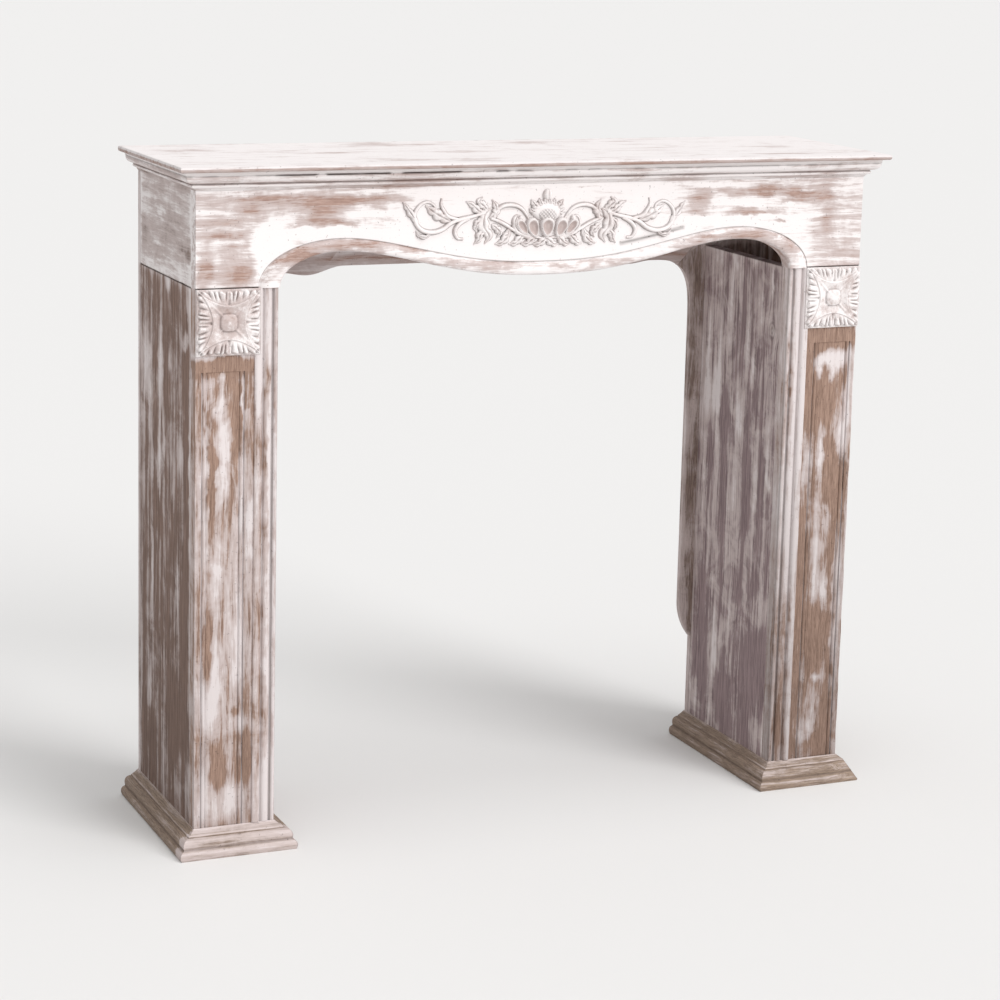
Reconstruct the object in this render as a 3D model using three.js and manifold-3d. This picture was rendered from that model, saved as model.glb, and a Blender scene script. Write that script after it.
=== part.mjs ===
// Wooden fireplace mantelpiece: a moulded shelf on an arched box header and two hollow box legs.
// Millimetres, +Z up, front towards -Y. The origin is on the floor, under the middle of the whole.

import * as THREE from 'three';
import Module from 'manifold-3d';

const wasm = await Module();
wasm.setup();

// Overall sizes
const HEIGHT = 1000;
const BODY_WIDTH = 1066;
const BODY_DEPTH = 291;
const HEADER_HEIGHT = 160;
const LEG_WIDTH = 122;

// Board thicknesses
const FRONT_BOARD = 22;
const SIDE_BOARD = 18;
const BACK_BOARD = 12;

// Shelf: a thin upper edge over a fillet that is set back
const SHELF_THICKNESS = 14;
const SHELF_EDGE = 8;
const SHELF_OVERHANG = 31;
const SHELF_SETBACK = 11;

// Cornice under the shelf
const CORNICE_HEIGHT = 22;

// Base mouldings round the legs
const BASE_HEIGHT = 39;
const BASE_REACH = 28;

// Moulding along the inner front edge of each leg
const MOULDING_WIDTH = 35;
const MOULDING_RELIEF = 3.5;

// Bead round the panel of each leg front
const PANEL_OUTER_MARGIN = 9;
const PANEL_INNER_MARGIN = 14;
const PANEL_SINK = 1.5;
const BEAD_WIDTH = 6;
const QUIRK_WIDTH = 1.5;
const QUIRK_DEPTH = 2.5;

// Rosette: it laps over the ridge of the leg moulding
const ROSETTE_LAP = 7;
const ROSETTE_EDGE = 4;
const ROSETTE_RELIEF = 7;
const PANEL_DROP = 24;

// Arch under the header, as heights above the top of the legs
const ARCH_MIDDLE = 4.5;
const ARCH_CROWN = 48;
const ARCH_CROWN_INSET = 93;
const ARCH_OVERHANG = 2;
const RIM_MIDDLE = 19.5;
const RIM_CROWN = 18.5;
const RIM_FOOT = 32;
const RIM_RELIEF = 5;

// Back frame: how far it stands into the opening, and its shaped inner edge
const STILE_MARGIN = 23;
const STILE_FOOT = 169;
const STILE_FOOT_RADIUS = 95;
const RAIL_DROP = 14;
const LOBE_DROP = 27;
const LOBE_INSET = 139;
const LOBE_WIDTH = 61;
const FRAME_CORNER_TOP = 22;
const FRAME_CORNER_WIDTH = 73;
const FRAME_CORNER_HEIGHT = 100;

// Carving on the frieze, a little above the middle between the arch rim and the cornice
const CARVING_WIDTH = 456;
const CARVING_HEIGHT = 86;
const CARVING_RISE = 7;
const CARVING_RELIEF = 8;
const STEM_RELIEF = 6;
const LEAF_RELIEF = 6.4;

// The carving was fixed a little out of level, in degrees clockwise
const CARVING_TILT = 1;

// Hairline left between parts that are cut to each other
const JOINT_GAP = 0.3;

// Places worked out from the sizes above
const totalDepth = BODY_DEPTH + SHELF_OVERHANG;
const backY = totalDepth / 2;
const faceY = backY - BODY_DEPTH;
const innerY = faceY + FRONT_BOARD;
const frameY = backY - BACK_BOARD;
const bodyHalf = BODY_WIDTH / 2;
const legInner = bodyHalf - LEG_WIDTH;
const bodyTop = HEIGHT - SHELF_THICKNESS;
const legTop = bodyTop - HEADER_HEIGHT;
const frontBoardWidth = LEG_WIDTH - MOULDING_WIDTH;
const mouldingOuter = bodyHalf - frontBoardWidth;
const rosetteSize = frontBoardWidth + ROSETTE_LAP;
const rosetteBottom = legTop - rosetteSize;
const corniceReach = SHELF_OVERHANG - SHELF_SETBACK;
const rimTop = legTop + ARCH_MIDDLE + RIM_MIDDLE;
const corniceFoot = bodyTop - CORNICE_HEIGHT;
const carvingMiddle = (rimTop + corniceFoot) / 2 + CARVING_RISE;
const carvingBottom = carvingMiddle - CARVING_HEIGHT / 2;
const archFoot = legInner - ARCH_OVERHANG;
const archCrownX = legInner - ARCH_CROWN_INSET;

// Pale whitewash over brown wood, as a rough colour for each group of pieces
const paints = {
  shelf: { color: 0xe6dcda, roughness: 0.6 },
  header: { color: 0xeae0de, roughness: 0.62 },
  legFront: { color: 0xb39a8a, roughness: 0.66 },
  legSide: { color: 0x7a6b68, roughness: 0.7 },
  carving: { color: 0xece4e2, roughness: 0.6 },
  base: { color: 0x9a8375, roughness: 0.64 },
  frame: { color: 0x6c5f61, roughness: 0.72 },
};

// Triangles of a flat ring of points in space, as index triples, cut off ear by ear so that
// points in the middle of a straight edge are kept
function capTriangles(ring) {
  const normal = new THREE.Vector3();
  ring.forEach((point, i) => {
    const next = ring[(i + 1) % ring.length];
    normal.x += (point.y - next.y) * (point.z + next.z);
    normal.y += (point.z - next.z) * (point.x + next.x);
    normal.z += (point.x - next.x) * (point.y + next.y);
  });
  const turn = new THREE.Quaternion();
  turn.setFromUnitVectors(normal.normalize(), new THREE.Vector3(0, 0, 1));
  const flat = ring.map((point) => point.clone().applyQuaternion(turn));
  const area = (a, b, c) => (
    (flat[b].x - flat[a].x) * (flat[c].y - flat[a].y) - (flat[c].x - flat[a].x) * (flat[b].y - flat[a].y)
  );
  const covers = (a, b, c, d) => area(a, b, d) >= 0 && area(b, c, d) >= 0 && area(c, a, d) >= 0;
  const left = ring.map((_, i) => i);
  const triangles = [];
  while (left.length > 3) {
    const count = left.length;
    const corners = left.map((b, i) => [left[(i + count - 1) % count], b, left[(i + 1) % count]]);
    const isEar = ([a, b, c]) => (
      area(a, b, c) > 1e-6 && !left.some((d) => d !== a && d !== b && d !== c && covers(a, b, c, d))
    );
    const ear = corners.findIndex(isEar);
    if (ear < 0) {
      throw new Error('An outline crosses itself');
    }
    triangles.push(corners[ear]);
    left.splice(ear, 1);
  }
  triangles.push([...left]);
  return triangles;
}

// Closed body through a row of rings with equal counts of points, capped at both ends
function loft(rings) {
  const count = rings[0].length;
  const points = rings.flat();
  const triangles = [];
  for (let row = 0; row + 1 < rings.length; row += 1) {
    for (let i = 0; i < count; i += 1) {
      const a = row * count + i;
      const b = row * count + ((i + 1) % count);
      triangles.push([a, b, b + count], [a, b + count, a + count]);
    }
  }
  const last = (rings.length - 1) * count;
  const endCap = capTriangles(rings[rings.length - 1]);
  endCap.forEach(([a, b, c]) => triangles.push([last + a, last + b, last + c]));
  capTriangles(rings[0]).forEach(([a, b, c]) => triangles.push([a, c, b]));
  let volume = 0;
  triangles.forEach(([a, b, c]) => {
    volume += points[a].dot(new THREE.Vector3().crossVectors(points[b], points[c]));
  });
  if (volume < 0) {
    triangles.forEach((triangle) => triangle.reverse());
  }
  const mesh = new wasm.Mesh({
    numProp: 3,
    vertProperties: new Float32Array(points.flatMap((point) => point.toArray())),
    triVerts: new Uint32Array(triangles.flat()),
  });
  return new wasm.Manifold(mesh);
}

// Rectangular board between two corners
function slab(x0, x1, y0, y1, z0, z1) {
  const corners = [[x0, y0], [x1, y0], [x1, y1], [x0, y1]];
  return loft([z0, z1].map((z) => corners.map(([x, y]) => new THREE.Vector3(x, y, z))));
}

// Flat board with an outline of [x, z] points, between two depths
function shapedBoard(outline, y0, y1) {
  return loft([y0, y1].map((y) => outline.map(([x, z]) => new THREE.Vector3(x, y, z))));
}

// Upright strip with a section of [x, forward] points, forward measured out of the face plane
function uprightStrip(section, z0, z1) {
  return loft([z0, z1].map((z) => (
    section.map(([x, forward]) => new THREE.Vector3(x, faceY - forward, z))
  )));
}

function meshFrom(solid) {
  const { vertProperties, triVerts } = solid.getMesh();
  const geometry = new THREE.BufferGeometry();
  geometry.setAttribute('position', new THREE.BufferAttribute(vertProperties, 3));
  geometry.setIndex(new THREE.BufferAttribute(triVerts, 1));
  return geometry;
}

const group = new THREE.Group();

function add(name, solid, paint) {
  const mesh = new THREE.Mesh(meshFrom(solid), new THREE.MeshStandardMaterial(paints[paint]));
  mesh.name = name;
  group.add(mesh);
}

// Left and right copies: the maker takes side = -1 or 1
function addPair(name, maker, paint) {
  add(`${name}_left`, maker(-1), paint);
  add(`${name}_right`, maker(1), paint);
}

// Evenly spaced numbers from 0 to 1
function steps(count) {
  return Array.from({ length: count + 1 }, (_, i) => i / count);
}

// Shelf: rings of its plan, from the underside up, flush with the back
function makeShelf() {
  const setback = SHELF_OVERHANG - SHELF_SETBACK;
  const levels = [
    [bodyTop, setback],
    [HEIGHT - SHELF_EDGE, setback],
    [HEIGHT - SHELF_EDGE, SHELF_OVERHANG],
    [HEIGHT, SHELF_OVERHANG],
  ];
  return loft(levels.map(([z, reach]) => {
    const half = bodyHalf + reach;
    const plan = [[-half, faceY - reach], [half, faceY - reach], [half, backY], [-half, backY]];
    return plan.map(([x, y]) => new THREE.Vector3(x, y, z));
  }));
}

// Cornice section as [share of its reach, share of its drop]: ovolo, quirk, bead and cove
const corniceSection = [
  [0, 0], [0.97, 0], [0.97, 0.06], [0.94, 0.2], [0.84, 0.34], [0.68, 0.44], [0.5, 0.49], [0.36, 0.5],
  [0.36, 0.57], [0.42, 0.62], [0.42, 0.7], [0.36, 0.77], [0.27, 0.78], [0.14, 0.84], [0.07, 0.95],
  [0.05, 1], [0, 1],
].map(([out, drop]) => [out * corniceReach, drop * CORNICE_HEIGHT]);

// Mitred run across the front, between the corners at x0 and x1, its ends turned outwards
function frontRun(section, x0, x1, toZ) {
  const ends = [[x0, -1], [x1, 1]];
  return loft(ends.map(([corner, turn]) => section.map(([out, rise]) => (
    new THREE.Vector3(corner + turn * (out - JOINT_GAP), faceY - out, toZ(rise))
  ))));
}

// Run along a side face at x, from the mitre at the front to the back
function sideRun(section, x, turn, toZ) {
  return loft([0, 1].map((end) => section.map(([out, rise]) => (
    new THREE.Vector3(x + turn * out, end ? backY : faceY - out, toZ(rise))
  ))));
}

const fromCornice = (drop) => bodyTop - drop;

// Height of an arch line above the legs: it rises in a long ease from the middle to the crown,
// then falls in a quarter ellipse to the foot
function archPoint(t, foot, middle, crown) {
  const share = 0.6;
  if (t <= share) {
    const along = t / share;
    const ease = along ** 1.3;
    return [archCrownX * along, middle + (crown - middle) * ease * ease * (3 - 2 * ease)];
  }
  const angle = ((t - share) / (1 - share)) * (Math.PI / 2);
  return [archCrownX + (foot - archCrownX) * Math.sin(angle), crown * Math.cos(angle)];
}

const archSteps = steps(20);
const innerArch = (t) => archPoint(t, archFoot, ARCH_MIDDLE, ARCH_CROWN);
const outerArch = (t) => archPoint(
  t,
  archFoot + RIM_FOOT,
  ARCH_MIDDLE + RIM_MIDDLE,
  ARCH_CROWN + RIM_CROWN,
);

// Rim section as [share from the inner to the outer line, forward in shares of its relief]
const rimSection = [
  [0, 0.1], [0.03, 0.5], [0.12, 0.82], [0.3, 1], [0.52, 0.98], [0.72, 0.75], [0.88, 0.3], [1, -0.4],
];

// Header front: a board cut to the outer line of the arch, with the rim carved round its edge
function makeFriezeFront() {
  const half = archSteps.map(outerArch);
  const arch = [
    ...half.slice(1).reverse().map(([x, rise]) => [-x, legTop + rise]),
    ...half.map(([x, rise]) => [x, legTop + rise]),
  ];
  const board = shapedBoard(
    [[-bodyHalf, legTop], ...arch, [bodyHalf, legTop], [bodyHalf, bodyTop], [-bodyHalf, bodyTop]],
    faceY,
    innerY,
  );
  const stations = [...archSteps.slice(1).reverse().map((t) => [t, -1]), ...archSteps.map((t) => [t, 1])];
  const rim = loft(stations.map(([t, side]) => {
    const [x0, rise0] = innerArch(t);
    const [x1, rise1] = outerArch(t);
    const lap = 1.02;
    const place = (share, y) => new THREE.Vector3(
      side * (x0 + (x1 - x0) * share),
      y,
      legTop + rise0 + (rise1 - rise0) * share,
    );
    const front = rimSection.map(([share, forward]) => place(share, faceY - forward * RIM_RELIEF));
    return [...front, place(lap, faceY + 0.4 * RIM_RELIEF), place(lap, innerY), place(0, innerY)];
  }));
  return board.add(rim);
}

function makeFriezeEnd(side) {
  return slab(
    side * (bodyHalf - SIDE_BOARD),
    side * bodyHalf,
    innerY,
    frameY,
    legTop,
    bodyTop,
  );
}

// Front of a leg: a board with a sunk panel between two beads, plain behind the rosette
function makeLegFront(side) {
  const x = (inset) => side * (bodyHalf - inset);
  const bead = (start) => steps(4).map((t) => {
    const angle = Math.PI * t;
    return [start + (BEAD_WIDTH / 2) * (1 - Math.cos(angle)), QUIRK_DEPTH * (Math.sin(angle) - 1)];
  });
  const outerBead = PANEL_OUTER_MARGIN + QUIRK_WIDTH;
  const innerBead = frontBoardWidth - PANEL_INNER_MARGIN - QUIRK_WIDTH - BEAD_WIDTH;
  const section = [
    [0, -FRONT_BOARD],
    [0, 0],
    [PANEL_OUTER_MARGIN, 0],
    [PANEL_OUTER_MARGIN, -QUIRK_DEPTH],
    ...bead(outerBead),
    [outerBead + BEAD_WIDTH + QUIRK_WIDTH, -PANEL_SINK],
    [innerBead - QUIRK_WIDTH, -PANEL_SINK],
    ...bead(innerBead),
    [frontBoardWidth - PANEL_INNER_MARGIN, -QUIRK_DEPTH],
    [frontBoardWidth - PANEL_INNER_MARGIN, 0],
    [frontBoardWidth, 0],
    [frontBoardWidth, -FRONT_BOARD],
  ];
  const panelTop = rosetteBottom - PANEL_DROP;
  const lower = uprightStrip(section.map(([inset, forward]) => [x(inset), forward]), 0, panelTop);
  return lower.add(slab(x(0), x(frontBoardWidth), faceY, innerY, panelTop, legTop));
}

// Leg moulding section as [share of its width, forward in shares of its relief]:
// ridge, groove, rounded band, quirk and edge bead
const mouldingSection = [
  [0, 0.55], [0.05, 0.9], [0.15, 1], [0.26, 0.85], [0.32, 0.2], [0.35, -0.5], [0.39, -0.45],
  [0.43, 0.3], [0.52, 0.62], [0.63, 0.5], [0.71, 0.1], [0.74, -0.8], [0.8, -0.85],
  [0.83, -0.1], [0.88, 0.3], [0.94, 0.25], [0.98, -0.1], [1, -0.5],
];

function makeLegMoulding(side) {
  const x = (share) => side * (mouldingOuter - share * MOULDING_WIDTH);
  const section = [
    [x(0), -FRONT_BOARD],
    ...mouldingSection.map(([share, forward]) => [x(share), forward * MOULDING_RELIEF]),
    [x(1), -FRONT_BOARD],
  ];
  const clear = faceY - 2 * MOULDING_RELIEF;
  const behindBase = slab(-bodyHalf, bodyHalf, clear, faceY, -1, BASE_HEIGHT + JOINT_GAP);
  const behindRosette = slab(
    side * (bodyHalf - rosetteSize - JOINT_GAP),
    side * bodyHalf,
    clear,
    faceY,
    rosetteBottom - JOINT_GAP,
    legTop + 1,
  );
  return uprightStrip(section, 0, legTop).subtract(behindBase).subtract(behindRosette);
}

function makeLegSide(side, outerX) {
  const x0 = side * outerX;
  const x1 = side * (outerX - SIDE_BOARD);
  return slab(x0, x1, innerY, frameY, 0, legTop);
}

// Rosette: rings from the boss out to the edge of the block. A star with four ridges runs to the
// corners, and a fringe of leaves fills the bow between each two ridges.
function makeRosette(side) {
  const half = rosetteSize / 2;
  const centreX = side * (bodyHalf - half);
  const centreZ = rosetteBottom + half;
  const columns = 18;
  const leaves = 4.5;
  const spots = [];
  for (let quarter = 0; quarter < 4; quarter += 1) {
    for (let i = 0; i < columns; i += 1) {
      spots.push([quarter, (2 * i) / columns - 1]);
    }
  }
  // Bow: how far out the star reaches along a ray, from the middle of a side to the corner
  const bow = (a) => 0.46 + 0.5 * Math.abs(a) ** 1.7;
  const finger = (a) => 0.5 - 0.5 * Math.cos(2 * Math.PI * leaves * a);
  const rows = [
    (a) => [0.18 - 0.03 * a * a, 1],
    (a) => [0.245 - 0.03 * a * a, 0.5 + 0.15 * a * a],
    (a) => [0.26 + 0.06 * a * a, 0.32 + 0.22 * a * a],
    (a) => [bow(a) - 0.02, 0.12 + 0.5 * a ** 4],
    (a) => [bow(a) + 0.16 * (1 - bow(a)), 0.22 + 0.25 * finger(a) * (1 - a ** 4) + 0.3 * a ** 6],
    (a) => [bow(a) + 0.6 * (1 - bow(a)), 0.3 + 0.38 * finger(a) * (1 - a ** 4)],
    (a) => [1 - 0.08 * (1 - Math.abs(a)), 0.12 + 0.3 * finger(a) * (1 - a ** 4)],
    (a) => [1, 0],
  ];
  const point = ([quarter, a], out, forward) => {
    const [u, v] = [[a, -1], [1, a], [-a, 1], [-1, -a]][quarter];
    return new THREE.Vector3(centreX + u * out * half, faceY - forward, centreZ + v * out * half);
  };
  const rings = rows.map((row) => spots.map((spot) => {
    const [out, height] = row(spot[1]);
    return point(spot, out, ROSETTE_EDGE + height * ROSETTE_RELIEF);
  }));
  rings.push(spots.map((spot) => point(spot, 1, 0)));
  return loft(rings);
}

// Base section as [share of its reach, share of its height]: cove, bead, ovolo, step and round
const baseSection = [
  [0, 0], [0, 1], [0.05, 0.985], [0.13, 0.93], [0.25, 0.86], [0.4, 0.81], [0.42, 0.765], [0.5, 0.76],
  [0.62, 0.74], [0.72, 0.69], [0.785, 0.6], [0.8, 0.49], [0.75, 0.39], [0.8, 0.355], [0.88, 0.335],
  [0.96, 0.285], [1, 0.2], [0.98, 0.08], [0.93, 0],
].map(([out, rise]) => [out * BASE_REACH, rise * BASE_HEIGHT]);

const fromFloor = (rise) => rise;

function makeBaseFront(side) {
  const ends = [side * bodyHalf, side * legInner].sort((a, b) => a - b);
  return frontRun(baseSection, ends[0], ends[1], fromFloor);
}

// Lower edge of the back rail and inner edge of a stile, for x > 0, as [x, z] points:
// a shallow lobe, a rounded corner, and a rounded foot that runs out at the leg
function frameEdge() {
  const stileX = legInner - STILE_MARGIN;
  const lobeX = legInner - LOBE_INSET;
  const cornerX = stileX - FRAME_CORNER_WIDTH;
  const cornerTop = legTop - FRAME_CORNER_TOP;
  const ease = (t) => 0.5 - 0.5 * Math.cos(Math.PI * t);
  const railZ = legTop - RAIL_DROP;
  const lobeZ = legTop - LOBE_DROP;
  const into = steps(8).map((t) => [lobeX - LOBE_WIDTH * (1 - t), railZ + (lobeZ - railZ) * ease(t)]);
  const out = steps(5).slice(1).map((t) => [
    lobeX + (cornerX - lobeX) * t,
    lobeZ + (cornerTop - lobeZ) * ease(t),
  ]);
  const power = 2 / 3.2;
  const corner = steps(12).slice(1).map((t) => {
    const angle = (t * Math.PI) / 2;
    return [
      cornerX + FRAME_CORNER_WIDTH * Math.sin(angle) ** power,
      cornerTop - FRAME_CORNER_HEIGHT * (1 - Math.abs(Math.cos(angle)) ** power),
    ];
  });
  const footAngle = Math.acos(1 - STILE_MARGIN / STILE_FOOT_RADIUS);
  const foot = steps(6).map((t) => [
    stileX + STILE_FOOT_RADIUS * (1 - Math.cos(footAngle * t)),
    STILE_FOOT + STILE_FOOT_RADIUS * (Math.sin(footAngle) - Math.sin(footAngle * t)),
  ]);
  return { head: [...into, ...out], corner, foot };
}

const frame = frameEdge();
const mitreAt = 5;

function makeBackRail() {
  const half = [...frame.head, ...frame.corner.slice(0, mitreAt), [bodyHalf, bodyTop]];
  const mirrored = half.map(([x, z]) => [-x, z]).reverse();
  return shapedBoard([...half, ...mirrored], frameY, backY);
}

function makeBackStile(side) {
  const outline = [
    [bodyHalf, bodyTop - 2 * JOINT_GAP],
    ...frame.corner.slice(mitreAt - 1).map(([x, z], i) => [x, i ? z : z - 2 * JOINT_GAP]),
    ...frame.foot,
    [legInner, 0],
    [bodyHalf, 0],
  ];
  return shapedBoard(outline.map(([x, z]) => [side * x, z]), frameY, backY);
}

// A place in the carving, from shares of its half width and of its height
function carvingPlace([u, v]) {
  return new THREE.Vector2((u * CARVING_WIDTH) / 2, carvingBottom + v * CARVING_HEIGHT);
}

// Sections across a carved strand as [share of width, share of height]: rounded, and with a vein
const ROUND = [[-0.5, 0], [-0.36, 0.7], [0, 1], [0.36, 0.7], [0.5, 0]];
const VEINED = [[-0.5, 0], [-0.3, 0.85], [0, 0.5], [0.3, 0.85], [0.5, 0]];

// Turns a point of the carving in the plane of the frieze, about the carving's middle
function tilted(x, y, z) {
  const angle = THREE.MathUtils.degToRad(CARVING_TILT);
  const rise = z - carvingMiddle;
  return new THREE.Vector3(
    x * Math.cos(angle) + rise * Math.sin(angle),
    y,
    carvingMiddle + rise * Math.cos(angle) - x * Math.sin(angle),
  );
}

// Strand that follows a smooth path through the points, with a width and height law along it. Its width
// is a share of the carving's height.
function strand(points, side, { width, height, section, count, law }) {
  const path = new THREE.SplineCurve(points.map(carvingPlace));
  const rings = steps(count).map((t) => {
    const centre = path.getPoint(t);
    const along = path.getTangent(t);
    const size = law(t);
    return section.map(([across, up]) => tilted(
      side * (centre.x - along.y * across * width * CARVING_HEIGHT * size),
      faceY - up * height * Math.max(size, 0.25),
      centre.y + along.x * across * width * CARVING_HEIGHT * size,
    ));
  });
  return loft(rings);
}

const stemLaw = (t) => 0.55 + 0.45 * Math.sin(Math.PI * Math.min(1, 0.15 + t));
const leafLaw = (t) => 0.12 + 0.88 * Math.sin(Math.PI * t ** 0.8);

const stem = (points, side, width, count) => strand(points, side, {
  width, height: STEM_RELIEF, section: ROUND, count, law: stemLaw,
});
const leaf = (points, side, width) => strand(points, side, {
  width, height: LEAF_RELIEF, section: VEINED, count: 5, law: leafLaw,
});

// Domed form: rings that shrink towards its top. Its half sizes are shares of the carving's height, and
// how far it stands out is a share of the relief.
function dome(u, v, halfWidth, halfHeight, out) {
  const centre = carvingPlace([u, v]);
  const rows = [[1, 0], [0.97, 0.4], [0.8, 0.75], [0.5, 0.95], [0.2, 1]];
  return loft(rows.map(([share, up]) => steps(12).slice(1).map((t) => {
    const angle = 2 * Math.PI * t;
    return tilted(
      centre.x + halfWidth * CARVING_HEIGHT * share * Math.cos(angle),
      faceY - CARVING_RELIEF * out * up,
      centre.y + halfHeight * CARVING_HEIGHT * share * Math.sin(angle),
    );
  })));
}

// One half of the carving, from the flower basket out to the curled end
function carvingHalf(side) {
  const stems = [
    // Long stem that ends in the round curl
    [[[0.43, 0.6], [0.52, 0.53], [0.59, 0.49], [0.66, 0.43], [0.72, 0.32], [0.79, 0.27], [0.86, 0.31],
      [0.905, 0.44], [0.91, 0.6], [0.875, 0.73], [0.825, 0.78], [0.78, 0.72], [0.775, 0.64]], 0.087, 18],
    // Big scroll beside the basket
    [[[0.37, 0.48], [0.36, 0.6], [0.315, 0.7], [0.25, 0.725], [0.19, 0.68], [0.15, 0.58], [0.12, 0.45],
      [0.1, 0.34]], 0.076, 11],
    // Stem that swings under the basket
    [[[0.39, 0.5], [0.34, 0.455], [0.285, 0.385], [0.23, 0.3], [0.155, 0.22], [0.08, 0.17], [-0.02, 0.16]],
      0.07, 8],
    // Branches above and below the long stem
    [[[0.6, 0.48], [0.68, 0.53], [0.715, 0.63], [0.735, 0.74], [0.73, 0.84]], 0.07, 5],
    [[[0.54, 0.5], [0.605, 0.41], [0.635, 0.29], [0.615, 0.17], [0.575, 0.15]], 0.081, 6],
  ];
  const leaves = [
    [[[0.66, 0.45], [0.73, 0.53], [0.79, 0.62], [0.84, 0.72]], 0.198],
    [[[0.88, 0.38], [0.925, 0.54], [0.965, 0.68], [0.995, 0.78]], 0.105],
    [[[0.45, 0.55], [0.49, 0.63], [0.53, 0.73], [0.57, 0.79]], 0.116],
    [[[0.385, 0.13], [0.39, 0.35], [0.4, 0.55], [0.415, 0.72], [0.44, 0.84]], 0.256],
    [[[0.4, 0.4], [0.36, 0.58], [0.36, 0.7], [0.385, 0.82]], 0.14],
    [[[0.4, 0.34], [0.42, 0.22], [0.45, 0.13], [0.49, 0.06]], 0.128],
    [[[0.42, 0.62], [0.46, 0.68], [0.475, 0.76], [0.465, 0.84]], 0.105],
    [[[0.06, 0.165], [0.15, 0.2], [0.205, 0.3], [0.225, 0.42], [0.2, 0.54]], 0.128],
    [[[0.06, 0.18], [0.11, 0.28], [0.125, 0.4], [0.105, 0.52]], 0.14],
    [[[0.09, 0.62], [0.12, 0.72], [0.15, 0.82], [0.165, 0.87]], 0.105],
    ...[[0.02, 0.17], [0.1, 0.2], [0.185, 0.26], [0.27, 0.37]].map(([u, v], i) => [
      [[u, v], [u + 0.035, 0.12 + 0.02 * i], [u + 0.08, 0.035 + 0.01 * i]], 0.128,
    ]),
  ];
  return [
    ...stems.map(([points, width, count]) => stem(points, side, width, count)),
    ...leaves.map(([points, width]) => leaf(points, side, width)),
  ];
}

function makeCarving() {
  const basket = [
    dome(0, 0.33, 0.28, 0.174, 1.3),
    dome(0, 0.56, 0.21, 0.14, 1.6),
    dome(0, 0.64, 0.32, 0.19, 1),
    dome(0, 0.915, 0.11, 0.105, 0.9),
  ];
  const forms = [...basket, ...carvingHalf(-1), ...carvingHalf(1)];
  return forms.reduce((whole, form) => whole.add(form));
}

add('shelf_board', makeShelf(), 'shelf');
add('cornice_front', frontRun(corniceSection, -bodyHalf, bodyHalf, fromCornice), 'header');
addPair('cornice', (side) => sideRun(corniceSection, side * bodyHalf, side, fromCornice), 'header');
add('frieze_front', makeFriezeFront(), 'header');
addPair('frieze_end', makeFriezeEnd, 'header');
add('frieze_carving', makeCarving(), 'carving');
addPair('rosette', makeRosette, 'carving');
addPair('leg_front', makeLegFront, 'legFront');
addPair('leg_moulding', makeLegMoulding, 'legFront');
addPair('leg_outer', (side) => makeLegSide(side, bodyHalf), 'legSide');
addPair('leg_inner', (side) => makeLegSide(side, legInner + SIDE_BOARD), 'legSide');
addPair('base_front', makeBaseFront, 'base');
addPair('base_outer', (side) => sideRun(baseSection, side * bodyHalf, side, fromFloor), 'base');
addPair('base_inner', (side) => sideRun(baseSection, side * legInner, -side, fromFloor), 'base');
add('back_rail', makeBackRail(), 'frame');
addPair('back_stile', makeBackStile, 'frame');

export default group;
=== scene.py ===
"""A whitewashed, well-worn wooden mantelpiece, dressed piece by piece over its fixed frame.

Metres, +Z up, front towards -Y, origin on the floor under the middle. Every surface is worked out as
whole numpy arrays. Three fields ride on each mesh for the paint: cover (below 0 bare wood, above 0
thick paint), crevice (1 in hollows, darkened with dirt and painted shade) and arris (1 on edges, whitened
by paint and by a painted highlight). A fourth darkens the colour near the floor: painted shade.
"""

import math

import bmesh
import bpy
import numpy as np
from mathutils import Matrix, Vector


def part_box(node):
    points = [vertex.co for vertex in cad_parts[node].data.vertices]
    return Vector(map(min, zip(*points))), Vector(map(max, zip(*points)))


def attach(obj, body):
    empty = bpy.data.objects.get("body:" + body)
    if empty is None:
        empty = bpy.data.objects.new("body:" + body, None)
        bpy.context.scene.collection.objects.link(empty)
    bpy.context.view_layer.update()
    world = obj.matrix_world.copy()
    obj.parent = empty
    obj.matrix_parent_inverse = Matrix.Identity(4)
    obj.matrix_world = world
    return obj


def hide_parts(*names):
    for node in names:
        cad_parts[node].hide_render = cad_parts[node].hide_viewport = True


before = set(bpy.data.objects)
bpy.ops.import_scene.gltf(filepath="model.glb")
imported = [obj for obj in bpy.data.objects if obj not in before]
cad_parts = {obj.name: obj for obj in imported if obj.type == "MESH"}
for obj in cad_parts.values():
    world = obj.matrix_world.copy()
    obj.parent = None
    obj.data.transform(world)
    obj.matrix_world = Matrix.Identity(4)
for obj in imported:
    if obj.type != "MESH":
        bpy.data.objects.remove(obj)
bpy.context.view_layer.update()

bl_info = {
    "name": "Whitewashed mantelpiece",
    "version": (1, 0, 0),
    "blender": (4, 5, 0),
    "location": "3D View > Sidebar > Mantelpiece",
    "description": "Worn whitewash, mouldings and carving over the frame of a wooden mantelpiece",
    "category": "Add Mesh",
}

MM = 0.001
SIDES = {"left": -1, "right": 1}


def corners(node):
    """Lowest and highest corner of a node, as arrays."""
    low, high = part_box(node)
    return np.array(low), np.array(high)


# Places taken from the frame
SHELF_LOW, SHELF_HIGH = corners("shelf_board")
CORNICE_LOW = corners("cornice_front")[0]
LEG_FRONT_LOW, LEG_FRONT_HIGH = corners("leg_front_right")
MOULDING_LOW, MOULDING_HIGH = corners("leg_moulding_right")
ROSETTE_LOW, ROSETTE_HIGH = corners("rosette_right")
BASE_LOW, BASE_HIGH = corners("base_front_right")
RAIL_LOW, RAIL_HIGH = corners("back_rail")

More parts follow.
